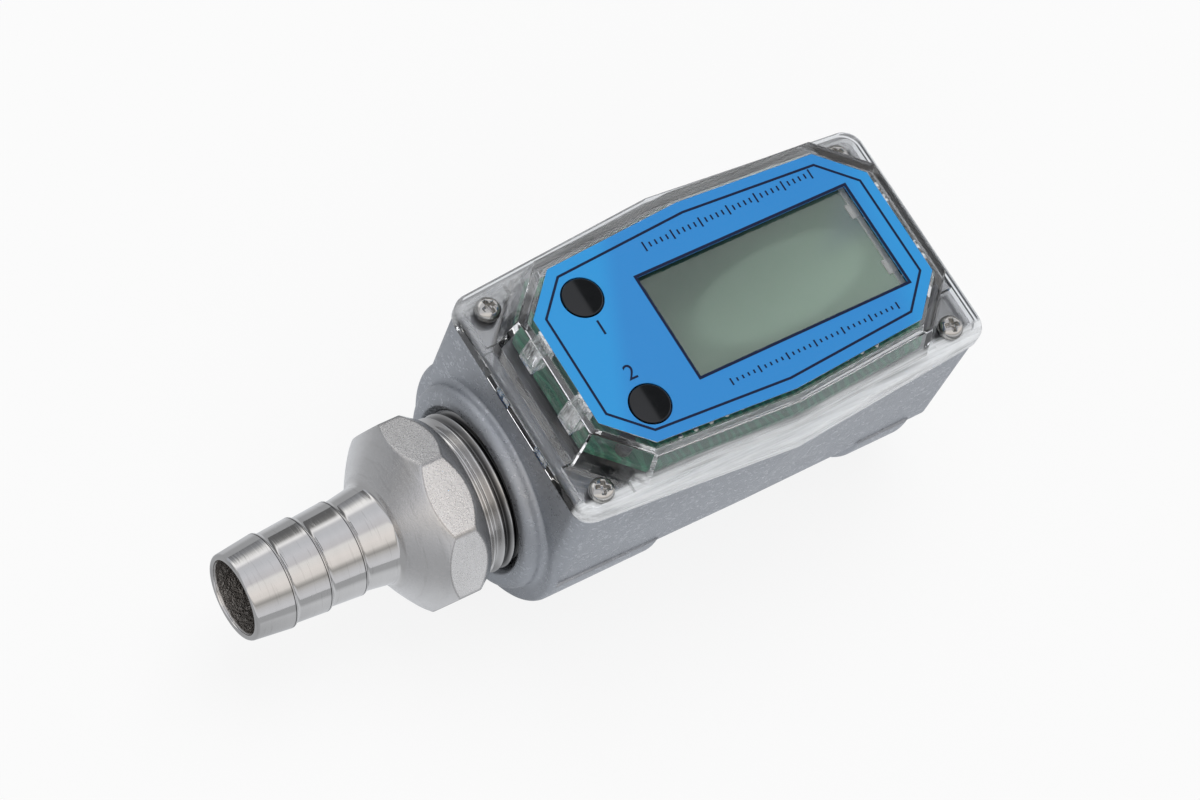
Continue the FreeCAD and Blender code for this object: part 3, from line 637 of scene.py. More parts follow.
def stainless(s):
    """Turned steel with fine rings, blasted flats and a rough bore.

    The mesh's own attributes say where it is blasted, bored or dull; where dull, it is also darkened with
    painted shade."""
    material, graph, shader = new_material("stainless_steel", Metallic=1.0)
    place = graph.place()
    blasted = graph.attribute("blasted")
    bore = graph.attribute("bore")
    dull = graph.attribute("dull")
    rings = graph.noise(graph.stretched(place, (1.0, 0.03, 0.03)), 0.00030, 2, 0.6)
    broad = graph.noise(graph.stretched(place, (1.0, 0.15, 0.15)), 0.0016, 2)
    scores = graph.noise(graph.stretched(place, (1.0, 0.07, 0.07)), 0.00042, 1).above(0.66, 0.03)
    grain = graph.noise(place, s.grain, 3, 0.8)
    speck = graph.split(graph.cells(place, s.grain).outputs["Color"])[0].above(0.72, 0.06)
    casting = graph.noise(place, 0.0011, 4, 0.7)
    turned = graph.bump((rings + scores * 0.5) * (1 - blasted), 0.000006)
    sanded = graph.bump((grain + speck * 0.3) * blasted, 0.00011, turned)
    pitted = graph.bump(casting * bore, 0.0005, sanded)
    satin = graph.blend(blasted.above(0.2, 0.15), colour(s.steel), colour(s.dome))
    bright = graph.blend(blasted.above(0.75, 0.2), satin, colour(s.flats))
    # painted shade: a thin dark line at each flat's edge stands in for the dark that its rounded edge
    # mirrors
    edge_shade = blasted.above(0.47, 0.05) * blasted.below(0.9, 0.08)
    edge_shaded = graph.blend(edge_shade * 0.4, bright, (0.22, 0.21, 0.20, 1.0))
    wear = broad * 0.3 + scores * 0.25 * (1 - blasted)
    scored = graph.blend(wear, edge_shaded, (0.46, 0.45, 0.44, 1.0))
    cast = graph.blend(casting.above(0.58, 0.08), colour(s.inner), (0.55, 0.53, 0.50, 1.0))
    whole = graph.blend(bore, scored, cast)
    gloss = 0.055 + broad * 0.05 + blasted * (0.22 - speck * 0.10) + bore * 0.4 + dull * 0.2
    # painted shade: the dull attribute darkens grooves and thread roots towards near black, and roughens
    # them
    graph.feed(shader.inputs["Base Color"], graph.blend(dull, whole, (0.03, 0.03, 0.03, 1.0)))
    graph.feed(shader.inputs["Roughness"], gloss)
    graph.feed(shader.inputs["Normal"], pitted)
    return material


def clear_plastic(s, deck, middle):
    """Clear moulding, misty low in its long walls and on the lugs inside its ends."""
    material, graph, shader = new_material(
        "clear_plastic", Base_Color=colour(s.tint), IOR=s.ior, Transmission_Weight=1.0)
    place = graph.place()
    x, y, z = graph.split(place)
    haze = graph.noise(place, 0.004, 2)
    flow = graph.bump(graph.noise(place, 0.009, 1), 0.00002)
    graph.feed(shader.inputs["Roughness"], s.roughness + haze * 0.01)
    graph.feed(shader.inputs["Normal"], flow)
    streaks = graph.noise(graph.stretched(place, (0.05, 1.0, 1.0)), 0.0011, 2)
    near_wall = y.below(-s.wall_place, 0.0008)
    far_wall = y.above(s.wall_place, 0.0008)
    low = z.below(deck + s.wall_mist, 0.0012)
    wall_mist = (near_wall + far_wall * 0.3) * low * (streaks * 1.6 - 0.15)
    reach = abs(x - middle)
    sharp = 0.0001
    end = reach.above(s.lug_start, sharp) * reach.below(s.lug_end, sharp)
    lug = end * abs(abs(y) - s.lug_place).below(s.lug_half_width, sharp)
    ribs = graph.noise(graph.stretched(place, (1.0, 1.0, 0.2)), 0.0010, 2, 0.6)
    lug_mist = lug * z.above(deck + s.lug_low, 0.0003) * ((ribs - 0.36) * 2.6)
    thickest = 0.8
    share = graph.maths("MINIMUM", graph.largest(wall_mist, 0.0) + lug_mist, thickest)
    mist = graph.node("ShaderNodeBsdfPrincipled", inputs={
        "Base Color": (0.93, 0.95, 0.97, 1.0), "Roughness": 0.5, "IOR": s.ior})
    cloudy = graph.node("ShaderNodeMixShader", inputs={
        0: share, 1: shader.outputs[0], 2: mist.outputs[0]})
    let_light_through(graph, cloudy, 0.92)
    return material


def rays(graph, *names):
    """1 for rays of the named kinds."""
    path = graph.node("ShaderNodeLightPath")
    return graph.largest(*(Signal(graph, path.outputs[name]) for name in names))


def let_light_through(graph, surface, amount):
    """Lets soft light reach what lies under a clear piece, whose surface is a shader node."""
    soft = rays(graph, "Is Shadow Ray", "Is Diffuse Ray")
    clear = graph.node("ShaderNodeBsdfTransparent")
    mix = graph.node("ShaderNodeMixShader", inputs={
        0: soft * amount, 1: surface.outputs[0], 2: clear.outputs[0]})
    graph.feed(graph.tree.nodes["Material Output"].inputs["Surface"], mix.outputs[0])


def printed_film(s):
    """Blue film, paler beyond a slanting edge at each end."""
    material, graph, shader = new_material("printed_film", IOR=1.5)
    place = graph.place()
    x, y, _ = graph.split(place)
    tone = graph.noise(place, 0.02, 2)
    inlet_edge, outlet_edge = -0.0785, -0.0175
    inlet_end = (x - y * 0.46).below(inlet_edge, 0.003)
    outlet_end = (x - y * 0.2).above(outlet_edge, 0.004)
    pale = inlet_end * 0.9 + outlet_end * 0.8 + tone * 0.1
    graph.feed(shader.inputs["Base Color"], graph.blend(pale, colour(s.blue), colour(s.pale_blue)))
    graph.feed(shader.inputs["Roughness"], 0.28 + tone * 0.08)
    graph.feed(shader.inputs["Normal"], graph.bump(graph.noise(place, 0.0008, 2), 0.000004))
    return material


def ink(s):
    """Dark print with a weak sheen."""
    material, graph, shader = new_material("ink", IOR=1.3)
    tone = graph.noise(graph.place(), 0.001, 2)
    dark = graph.blend(tone * 0.4, colour(s.ink), (0.012, 0.02, 0.06, 1.0))
    graph.feed(shader.inputs["Base Color"], dark)
    graph.feed(shader.inputs["Roughness"], 0.35 + tone * 0.1)
    return material


def liquid_crystal(s, low, high):
    """Blank display between two corners: deep at its inlet end, with painted shadow towards its far side,
    a painted sheen as a pale oval, and a blue corner.
    """
    material, graph, shader = new_material("liquid_crystal", IOR=1.2)
    place = graph.place()
    x, y, _ = graph.split(place)
    along_x = graph.step(x, low[0], high[0])
    # painted shadow: darker towards the far side, where the cover's window edge shades the display
    across = graph.step(y, high[1], low[1])
    curls = abs(graph.noise(place, 0.0034, 1) - 0.5).below(0.02, 0.02)
    corner = graph.step(x - y, high[0] - 0.016, high[0] - 0.006) * graph.step(y, -0.002, 0.004)
    # painted sheen: a pale oval pool of light on the display
    sheen_length, sheen_width, sheen_slant = 0.021, 0.0085, 0.0016
    off_x = (x - (low[0] * 0.45 + high[0] * 0.55)) / sheen_length
    off_y = (y - (low[1] * 0.55 + high[1] * 0.45) - off_x * sheen_slant) / sheen_width
    painted_sheen = (off_x * off_x + off_y * off_y).below(1.0, 0.3)
    light = along_x * 0.32 + across * 0.62 + painted_sheen * 0.32 - 0.08 + curls * corner * 0.05
    kept = graph.maths("MINIMUM", graph.largest(light, 0.0), 1.0)
    tone = graph.blend(kept, colour(s.deep), colour(s.pale))
    graph.feed(shader.inputs["Base Color"], graph.blend(corner * 0.4, tone, (0.05, 0.09, 0.13, 1.0)))
    graph.feed(shader.inputs["Roughness"], s.roughness + 0.05 * graph.noise(place, 0.003, 2))
    return material


def gloss_black(s):
    """Polished black plastic."""
    material, graph, shader = new_material("gloss_black", IOR=1.5)
    tone = graph.noise(graph.place(), 0.0015, 2)
    dark = graph.blend(tone * 0.5, colour(s.black), (0.012, 0.013, 0.015, 1.0))
    graph.feed(shader.inputs["Base Color"], dark)
    graph.feed(shader.inputs["Roughness"], s.roughness + tone * 0.05)
    return material


def nickel(s):
    """Bright plating, clouded a little by handling."""
    material, graph, shader = new_material("nickel_plating", Metallic=1.0)
    place = graph.place()
    tone = graph.noise(place, 0.0012, 3)
    plated = graph.blend(tone, colour(s.plating), (0.50, 0.49, 0.47, 1.0))
    graph.feed(shader.inputs["Base Color"], plated)
    graph.feed(shader.inputs["Roughness"], 0.07 + tone * 0.12)
    graph.feed(shader.inputs["Normal"], graph.bump(graph.noise(place, 0.0004, 2), 0.000008))
    return material


def solder_mask(s):
    """Green board with slightly raised tracks."""
    material, graph, shader = new_material("solder_mask", IOR=1.5)
    place = graph.place()
    x = graph.split(place)[0]
    wander = graph.noise(place, 0.006, 1)
    track_pitch = 0.0019
    lines = graph.maths("SINE", (x + wander * 0.004) * (FULL_TURN / track_pitch))
    tracks = lines.above(0.35, 0.12)
    graph.feed(shader.inputs["Base Color"], graph.blend(tracks, colour(s.green), colour(s.track)))
    graph.feed(shader.inputs["Roughness"], 0.32 + 0.1 * wander)
    graph.feed(shader.inputs["Normal"], graph.bump(tracks, 0.00003))
    return material


def solder(s):
    """Dull silvery solder."""
    material, graph, shader = new_material("solder", Metallic=1.0)
    tone = graph.noise(graph.place(), 0.0006, 2)
    graph.feed(shader.inputs["Base Color"], graph.blend(tone, colour(s.solder), (0.45, 0.45, 0.44, 1.0)))
    graph.feed(shader.inputs["Roughness"], 0.2 + tone * 0.2)
    return material


def moulded(name, rgb, roughness, size=0.0012, metallic=0.0):
    """A plain moulded finish with a fine skin, whose grain has one size in metres."""
    material, graph, shader = new_material(name, IOR=1.5, Metallic=metallic)
    place = graph.place()
    tone = graph.noise(place, size * 5, 2)
    darker = tuple(c * 0.8 for c in rgb)
    graph.feed(shader.inputs["Base Color"], graph.blend(tone, colour(rgb), colour(darker)))
    graph.feed(shader.inputs["Roughness"], roughness + (tone - 0.5) * 0.12)
    graph.feed(shader.inputs["Normal"], graph.bump(graph.noise(place, size, 3), 0.00001))
    return material


def rolled(name, rgb, roughness, size=0.0006):
    """The same skin on bare metal."""
    return moulded(name, rgb, roughness, size, metallic=1.0)


def frosted_plastic():
    """Cloudy clear plastic of the display's frame."""
    material, graph, shader = new_material(
        "frosted_plastic", Base_Color=(0.93, 0.96, 0.95, 1.0), IOR=1.49, Transmission_Weight=0.7)
    place = graph.place()
    frost = graph.noise(place, 0.0005, 3, 0.7)
    graph.feed(shader.inputs["Roughness"], 0.22 + frost * 0.35)
    graph.feed(shader.inputs["Normal"], graph.bump(frost, 0.0001))
    return material


# ---- pieces -----------------------------------------------------------------------
class FLOW_OT_stage(bpy.types.Operator):
    """Adds the floor, the soft lights and the camera"""
    bl_idname = "flow.stage"
    bl_label = "Stage"

    # the camera's place and its own axes
    eye = (-0.4243, -0.2302, 0.7205)
    right = (0.8233, -0.5145, 0.2397)
    up = (0.3749, 0.8100, 0.4510)
    back = (-0.4263, -0.2815, 0.8597)

    # brightness of the studio round the flow axis, as bright metal mirrors it:
    # degrees from straight up, towards +Y, and colour
    studio = [(-180, (0.62, 0.62, 0.65)), (-140, (0.72, 0.74, 0.78)), (-110, (0.80, 0.81, 0.85)),
              (-82, (0.83, 0.84, 0.88)), (-70, (0.74, 0.74, 0.76)), (-62, (0.60, 0.59, 0.58)),
              (-58, (0.44, 0.43, 0.42)), (-53, (0.62, 0.60, 0.58)), (-46, (1.00, 0.96, 0.93)),
              (-32, (1.10, 1.05, 1.02)), (-12, (1.06, 1.05, 1.04)), (-5, (0.80, 0.79, 0.82)),
              (14, (0.83, 0.84, 0.89)), (30, (0.75, 0.77, 0.82)), (42, (0.76, 0.77, 0.81)),
              (49, (1.20, 1.20, 1.22)), (61, (1.38, 1.38, 1.38)), (69, (0.88, 0.89, 0.91)),
              (76, (0.58, 0.60, 0.64)), (92, (0.52, 0.54, 0.59)), (125, (0.55, 0.57, 0.62)),
              (180, (0.62, 0.62, 0.65))]
    brightest = 1.4
    mirrored_floor = (0.93, 0.955, 1.0, 1.0)
    white = (1.0, 1.0, 1.0, 1.0)

    def execute(self, context):
        s = context.scene.flow_stage
        context.scene.view_settings.view_transform = "Standard"
        self.camera(context, s)
        self.floor(s)
        self.world(context, s)
        self.lamp("overhead", (0.10, 0.25, 1.10), (-0.06, 0, 0), 0.9, s.key)
        self.lamp("front", (-0.75, -0.85, 0.55), (-0.06, 0, 0.01), 0.6, s.key * 0.35)
        return {"FINISHED"}

    def camera(self, context, s):
        """A camera above the inlet end and to the near side."""
        data = bpy.data.cameras.new("camera")
        data.sensor_width = 36.0
        data.lens = s.lens
        data.clip_start = 0.01
        camera = add_object("camera", data)
        turn = Matrix((self.right, self.up, self.back)).transposed().to_4x4()
        camera.matrix_world = Matrix.Translation(self.eye) @ turn
        context.scene.camera = camera

    def floor(self, s):
        """A pale floor that keeps the piece's shadow, and that metal mirrors with shaded parts."""
        low = cad_box[0][2]
        reach = 4.0
        corners = [(-reach, -reach, low), (reach, -reach, low), (reach, reach, low), (-reach, reach, low)]
        material, graph, shader = new_material("floor", Base_Color=colour(s.floor), Roughness=0.9)
        white, lit, shaded = [
            graph.node("ShaderNodeEmission", inputs={"Color": tone, "Strength": strength})
            for tone, strength in ((self.white, 1.01), (self.mirrored_floor, s.mirrored),
                                   (self.mirrored_floor, s.shaded))]
        x, y, _ = graph.split(graph.place())
        under_nut = x.above(-0.113, 0.007) * x.below(-0.090, 0.010) * abs(y).below(0.028, 0.006)
        behind = graph.step(y, 0.02, 0.10)
        before = 0.9 * y.below(-0.088, 0.035)
        inlet_side = 0.95 * x.below(-0.138, 0.02)
        shade = graph.largest(under_nut, behind, before, inlet_side)
        pale = graph.node("ShaderNodeMixShader", inputs={
            0: shade, 1: lit.outputs[0], 2: shaded.outputs[0]})
        direct = rays(graph, "Is Camera Ray", "Is Transmission Ray")
        seen = graph.node("ShaderNodeMixShader", inputs={
            0: direct * 0.84, 1: shader.outputs[0], 2: white.outputs[0]})
        mix = graph.node("ShaderNodeMixShader", inputs={
            0: rays(graph, "Is Glossy Ray") * 0.9, 1: seen.outputs[0], 2: pale.outputs[0]})
        graph.feed(material.node_tree.nodes["Material Output"].inputs["Surface"], mix.outputs[0])
        mesh_piece("floor", corners, [(0, 1, 2, 3)], material, body=None)

    def world(self, context, s):
        """Even soft light, a white background, and a studio of pale and dark panels in metal."""
        world = bpy.data.worlds.new("studio")
        world.use_nodes = True
        context.scene.world = world
        graph = Graph(world.node_tree)
        shader = world.node_tree.nodes["Background"]
        shader.inputs["Color"].default_value = self.white
        shader.inputs["Strength"].default_value = s.ambient
        # direction along the flow, and turn about it: 0.5 is straight up, 0.75 towards +Y
        x, y, z = graph.split(graph.node("ShaderNodeTexCoord").outputs["Generated"])
        turn = graph.maths("ARCTAN2", y, z) / FULL_TURN + 0.5
        stops = [(degrees / 360 + 0.5, tuple(c / self.brightest for c in rgb))
                 for degrees, rgb in self.studio]
        ramp = graph.node("ShaderNodeValToRGB", {"stops": stops}, {"Fac": turn})
        mirror, white, dark = [
            graph.node("ShaderNodeBackground", inputs={"Color": tone, "Strength": strength})
            for tone, strength in ((ramp.outputs["Color"], self.brightest), (self.white, 1.0),
                                   (self.white, s.dark_room))]
        panel_place = x.above(0.432, 0.006) * x.below(0.60, 0.01)
        panel = panel_place * turn.above(0.49, 0.01) * turn.below(0.60, 0.01)
        wall = x.above(0.18, 0.08) * turn.above(0.655, 0.02) * turn.below(0.81, 0.03)
        back = x.below(-0.5, 0.1) * turn.above(0.60, 0.03) * turn.below(0.76, 0.04)
        unlit = graph.largest(panel, wall * 0.9 + back * 0.6)
        room = graph.node("ShaderNodeMixShader", inputs={
            0: unlit, 1: mirror.outputs[0], 2: dark.outputs[0]})
        direct = rays(graph, "Is Camera Ray", "Is Transmission Ray")
        seen = graph.node("ShaderNodeMixShader", inputs={
            0: direct, 1: shader.outputs[0], 2: white.outputs[0]})
        mix = graph.node("ShaderNodeMixShader", inputs={
            0: rays(graph, "Is Glossy Ray"), 1: seen.outputs[0], 2: room.outputs[0]})
        graph.feed(world.node_tree.nodes["World Output"].inputs["Surface"], mix.outputs[0])

    @staticmethod
    def lamp(name, place, target, width, power):
        """A square soft light, which metal doesn't mirror."""
        data = bpy.data.lights.new(name, "AREA")
        data.shape = "SQUARE"
        data.size = width
        data.energy = power
        lamp = add_object(name, data)
        lamp.location = place
        lamp.visible_glossy = False
        aim = Vector(target) - Vector(place)
        lamp.rotation_euler = aim.to_track_quat("-Z", "Y").to_euler()


class FLOW_OT_housing(bpy.types.Operator):
    """Finishes the cast housing"""
    bl_idname = "flow.housing"
    bl_label = "Cast housing"

    def execute(self, context):
        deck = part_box("clear_cover")[0].z
        dress("meter_body", blasted_aluminium(context.scene.flow_housing, deck))
        return {"FINISHED"}


class FLOW_OT_fitting(bpy.types.Operator):
    """Makes the hose tail with its thread, wrench flats and barbs"""
    bl_idname = "flow.fitting"
    bl_label = "Hose tail"

    # in millimetres, with distances outwards from the inlet face
    thread_start, thread_radius = -4.0, 16.6
    thread_end = [(-13.0, 15.6), (-12.0, 16.6)]
    nut_start, nut_end = 6.0, 21.3
    nut_outline = [(6.0, 17.6), (9.8, 20.19), (14.4, 20.19), (16.1, 18.65)]
    dome_slope, dome_curve = 1.1, 0.042
    flats_half = 18.65          # from the middle to one of the eight flats
    corner_turn = 84.0          # degrees from +Y to a corner
    corner_round = 0.22
    neck_end, neck_top = 22.5, 10.3
    crests = (29.5, 37.35, 45.2)
    crest_radius, root_radius, tip_radius, tip_end = 9.9, 9.3, 9.0, 53.5
    ramp_end = 0.35             # a barb's ramp ends this far before its crest
    # one barb's edge: distance from the crest, height over the crest's radius, zone
    barb_edge = [(-0.33, -0.12, "plain"), (-0.27, 0.0, "plain"), (-0.06, 0.0, "plain"),
                 (0.0, -0.02, "groove"), (0.13, -0.02, "groove"), (0.19, -0.03, "plain")]
    rim_length, rim_drop = 0.8, 0.7
    lip_drop, lip_round = 0.8, 0.45
    bore = [(52.6, 7.75), (14.8, 7.75), (-9.0, 13.0), (-13.0, 13.0)]
    satin = 0.4                 # how blasted the shoulder is; the flats are 1

    def execute(self, context):
        s = context.scene.flow_fitting
        columns = s.columns
        stations = self.stations(s.row_step / MM)
        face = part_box("hose_tail")[0][0] + self.tip_end * MM
        points = []
        blasted = []
        inner = []
        groove_shade = []
        for distance, radius, zone in stations:
            for j in range(columns):
                turn = FULL_TURN * j / columns + math.radians(self.corner_turn)
                r, flat = self.radius_at(distance, radius, zone, turn, s)
                points.append((face - distance * MM, r * MM * math.cos(turn), r * MM * math.sin(turn)))
                blasted.append(flat)
                inner.append(1.0 if zone == "bore" else 0.0)
                groove_shade.append(self.dull(distance, radius - r, zone))
        faces = grid_faces(len(stations), columns, closed_rows=True)
        piece = mesh_piece("hose_fitting", points, faces, stainless(s), smooth=True)
        self.keep(piece.data, "blasted", blasted)
        self.keep(piece.data, "bore", inner)
        self.keep(piece.data, "dull", groove_shade)
        outward(piece.data)
        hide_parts("hose_tail")
        return {"FINISHED"}

    @staticmethod
    def keep(mesh, name, values):
        """Stores one value for each point, for the material."""
        layer = mesh.attributes.new(name, "FLOAT", "POINT")
        layer.data.foreach_set("value", values)

    @staticmethod
    def dull(distance, depth, zone):
        """How much painted shade darkens a groove: barb lines, and thread roots towards the housing."""
        if zone == "groove":
            return 0.9
        if zone == "thread":
            near_housing = clamped((4.2 - distance) / 3.4)
            return min(1.0, 0.25 + depth) * near_housing
        return 0.0

    @staticmethod
    def ramp(rings, end, radius, count):
        """Adds even rings from the last one to a given end and radius."""
        start, low, _ = rings[-1]
        for i in range(1, count + 1):
            rings.append((start + (end - start) * i / count, low + (radius - low) * i / count, "plain"))

    def stations(self, step):
        """Rings of the surface in order: distance, radius and zone."""
        rings = [(d, r, "plain") for d, r in self.thread_end]
        distance = self.thread_start
        while distance < self.nut_start:
            rings.append((distance, self.thread_radius, "thread"))
            distance += step
        span = self.nut_end - self.nut_start
        count = int(span / (step * 1.1))
        for i in range(count + 1):
            rings.append((self.nut_start + span * i / count, 0.0, "wrench"))
        for i in range(1, 17):
            d = self.nut_end + (self.neck_end - self.nut_end) * i / 16
            rings.append((d, self.neck_radius(d), "neck"))
        for crest in self.crests:
            self.ramp(rings, crest - self.ramp_end, self.root_radius, 8)
            rings += [(crest + run, self.crest_radius + rise, zone) for run, rise, zone in self.barb_edge]
        self.ramp(rings, self.tip_end - self.rim_length, self.tip_radius, 6)
        for i in range(1, 8):
            a = math.pi / 2 * i / 7
            rings.append((self.tip_end - self.rim_length * (1 - math.sin(a)),
                          self.tip_radius - self.rim_drop * (1 - math.cos(a)), "plain"))
        for i in range(6):
            a = math.pi / 2 * i / 5
            rings.append((self.tip_end - self.lip_round * (1 - math.cos(a)),
                          self.tip_radius - self.lip_drop - self.lip_round * math.sin(a), "plain"))
        rings += [(d, r, "bore") for d, r in self.bore]
        return rings

    def neck_radius(self, d):
        """Rounded foot of the shoulder."""
        share = (d - self.nut_end) / (self.neck_end - self.nut_end)
        return self.neck_top + (self.nut_radius(self.nut_end) - self.neck_top) * (1 - share) ** 2.2

    def nut_radius(self, d):
        """Turned outline of the nut: long rear chamfer, short front one, domed shoulder."""
        dome_start, dome_radius = self.nut_outline[-1]
        if d < dome_start:
            return along(self.nut_outline, d)
        past = d - dome_start
        return dome_radius - self.dome_slope * past - self.dome_curve * past ** 2

    def radius_at(self, distance, radius, zone, turn, s):
        """Radius of the surface, and how blasted it is: 1 on a flat."""
        if zone == "thread":
            pitch = s.thread_pitch / MM
            phase = (distance / pitch + turn / FULL_TURN) % 1.0
            wave = clamped(2.4 * abs(phase - 0.5) - 0.1)
            # the thread runs out in a plain ring against the nut
            fade = clamped((5.2 - distance) / 0.8)
            return radius - s.thread_depth / MM * (wave * fade + 0.6 * (1 - fade)), 0.0
        if zone == "neck":
            share = (distance - self.nut_end) / (self.neck_end - self.nut_end)
            return radius, self.satin * max(0.0, 1 - share * 2.5)
        if zone != "wrench":
            return radius, 0.0
        envelope = self.nut_radius(distance)
        corner = (turn - math.radians(self.corner_turn)) % (math.pi / 4) - math.pi / 8
        flat = self.flats_half / math.cos(corner)
        on_flat = clamped((envelope - flat + 0.1) / 0.35)
        blasted = self.satin + (1 - self.satin) * on_flat
        return smooth_min(envelope, flat, self.corner_round), blasted


class FLOW_OT_port_thread(bpy.types.Operator):
    """Adds the crests of a pipe thread to the open port"""
    bl_idname = "flow.port_thread"
    bl_label = "Port thread"

    def execute(self, context):
        s = context.scene.flow_port
        graph, given, result = new_tree("port_thread", [
            ("Turns", "NodeSocketFloat"), ("Length", "NodeSocketFloat"),
            ("Radius", "NodeSocketFloat"), ("Depth", "NodeSocketFloat"),
            ("Start", "NodeSocketFloat"), ("Material", "NodeSocketMaterial")])
        helix = graph.node("GeometryNodeCurveSpiral", inputs={
            "Resolution": 96, "Rotations": given.outputs["Turns"],
            "Start Radius": given.outputs["Radius"], "End Radius": given.outputs["Radius"],
            "Height": given.outputs["Length"]})
        ridge = graph.node("GeometryNodeCurvePrimitiveCircle", {"mode": "RADIUS"}, {
            "Resolution": 4, "Radius": given.outputs["Depth"]})
        tube = graph.node("GeometryNodeCurveToMesh", inputs={
            "Curve": helix.outputs[0], "Profile Curve": ridge.outputs[0], "Fill Caps": True})
        away = graph.node("ShaderNodeCombineXYZ", inputs={0: Signal(graph, given.outputs["Start"]) * -1})
        placed = graph.node("GeometryNodeTransform", inputs={
            "Geometry": tube.outputs[0], "Rotation": (0.0, -math.pi / 2, 0.0),
            "Translation": away.outputs[0]})
        finish_tree(graph, given, result, placed.outputs[0])
        metal = rolled("cut_thread", (0.55, 0.56, 0.58), 0.3)
        span = s.end - s.start
        radius = s.radius - s.depth * 0.35
        piece = run_tree("outlet_thread", graph, {
            "Turns": span / s.pitch, "Length": span, "Radius": radius, "Depth": s.depth * 0.75,
            "Start": s.start, "Material": metal}, metal)
        return {"FINISHED"}


class FLOW_OT_cover(bpy.types.Operator):
    """Finishes the clear cover and its gasket"""
    bl_idname = "flow.cover"
    bl_label = "Clear cover"

    def execute(self, context):
        s = context.scene.flow_cover
        low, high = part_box("clear_cover")
        deck = low.z
        plastic = clear_plastic(s, deck, (low.x + high.x) / 2)
        shell = merged_copy("clear_cover", "cover_shell", plastic)
        for vertex in shell.data.vertices:
            if vertex.co.z < deck + s.lift / 2:
                vertex.co.z += s.lift
        shade_rounds(shell.data)
        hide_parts("clear_cover")
        dress("cover_gasket", moulded("gasket_rubber", (0.02, 0.02, 0.02), 0.6))
        return {"FINISHED"}


def film_outline(s):
    """The film's ten corners, in plan."""
    low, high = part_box("face_panel")
    x = (low[0] + high[0]) / 2
    end = (high[0] - low[0]) / 2
    side = (high[1] - low[1]) / 2
    end_y = s.end_half_width
    cut_x = end - s.chamfer
    cut_y = end_y + s.chamfer
    lower = [(-end, -end_y), (-cut_x, -cut_y), (0, -side), (cut_x, -cut_y), (end, -end_y)]
    upper = [(-px, -py) for px, py in lower]
    return [(x + px, py) for px, py in lower + upper]


class FLOW_OT_face(bpy.types.Operator):
    """Prints the film: border, window frame, numbers and marks"""
    bl_idname = "flow.face"
    bl_label = "Printed film"

    def execute(self, context):
        s = context.scene.flow_face
        dress("face_panel", printed_film(s))
        self.ink = ink(s)
        low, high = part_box("face_panel")
        self.middle = (low[0] + high[0]) / 2
        self.top = high[2] + 0.00001
        border = grown(film_outline(s), -s.border_inset)
        self.line("border_line", border, s.line_width)
        x = self.middle + s.window_x
        half_length = s.window_length / 2
        half_width = s.window_width / 2
        left, right = x - half_length, x + half_length
        bottom, top = s.window_y - half_width, s.window_y + half_width
        window = [(left, bottom), (right, bottom), (right, top), (left, top)]
        self.line("window_line", grown(window, s.line_width * 1.2), s.line_width * 1.2)
        self.marks(s, "upper_marks", x, top + s.upper_gap, 1.0)
        self.marks(s, "lower_marks", x, bottom - s.lower_gap, 0.7)
        for text, node, side in (("1", "calibrate_button", -1), ("2", "display_button", 1)):
            self.numeral(s, text, node, side)
        return {"FINISHED"}

    def line(self, name, outline, width):
        """A closed printed line."""
        piece = line_ring(name, outline, width, self.top, self.top + INK_THICKNESS, self.ink)

    def numeral(self, s, text, node, side):
        """A number above (1) or below (-1) its button."""
        low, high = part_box(node)
        data = bpy.data.curves.new("number_" + text, "FONT")
        data.body = text
        font_per_height = 1.38
        data.size = s.numeral * font_per_height
        data.align_x = "CENTER"
        data.align_y = "CENTER"
        data.extrude = INK_THICKNESS / 2
        source = add_object("number_" + text, data)
        source.location = ((low[0] + high[0]) / 2, (low[1] + high[1]) / 2 + side * s.numeral_offset,
                           self.top + INK_THICKNESS / 2)
        piece = plain_mesh(source, "number_" + text, self.ink)

    def marks(self, s, name, x, y, scale):
        """A row of plain marks with every fifth one longer."""
        graph, given, result = new_tree(name, [
            ("Count", "NodeSocketInt"), ("Spacing", "NodeSocketFloat"),
            ("Width", "NodeSocketFloat"), ("Height", "NodeSocketFloat"),
            ("Place", "NodeSocketVector"), ("Material", "NodeSocketMaterial")])
        step = graph.node("ShaderNodeCombineXYZ", inputs={0: given.outputs["Spacing"]})
        row = graph.node("GeometryNodeMeshLine", {"mode": "OFFSET"}, {
            "Count": given.outputs["Count"], "Start Location": given.outputs["Place"],
            "Offset": step.outputs[0]})
        size = graph.node("ShaderNodeCombineXYZ", inputs={
            0: given.outputs["Width"], 1: given.outputs["Height"], 2: INK_THICKNESS})
        bar = graph.node("GeometryNodeMeshCube", inputs={"Size": size.outputs[0]})
        index = Signal(graph, graph.node("GeometryNodeInputIndex").outputs[0])
        fifth = graph.maths("COMPARE", graph.maths("MODULO", index, 5.0), 0.0, 0.1)
        tall = graph.node("ShaderNodeCombineXYZ", inputs={0: 1.0, 1: 0.5 + 0.5 * fifth, 2: 1.0})
        placed = graph.node("GeometryNodeInstanceOnPoints", inputs={
            "Points": row.outputs[0], "Instance": bar.outputs[0], "Scale": tall.outputs[0]})
        finish_tree(graph, given, result, placed.outputs[0])
        spacing = s.window_length * 0.8 / (s.tick_count - 1)
        start = (x - spacing * (s.tick_count - 1) / 2, y, self.top + INK_THICKNESS / 2)
        piece = run_tree(name, graph, {
            "Count": s.tick_count, "Spacing": spacing, "Width": s.line_width * 0.7,
            "Height": s.tick_height * scale, "Place": start, "Material": self.ink}, self.ink)


class FLOW_OT_display(bpy.types.Operator):
    """Finishes the display and the clear frame round it"""
    bl_idname = "flow.display"
    bl_label = "Display"

    def execute(self, context):
        s = context.scene.flow_display
        low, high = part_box("lcd_glass")
        dress("lcd_glass", liquid_crystal(s, low, high))
        dress("lcd_holder", frosted_plastic())
        dress("lcd_strips", moulded("contact_rubber", (0.16, 0.16, 0.17), 0.6))
        return {"FINISHED"}


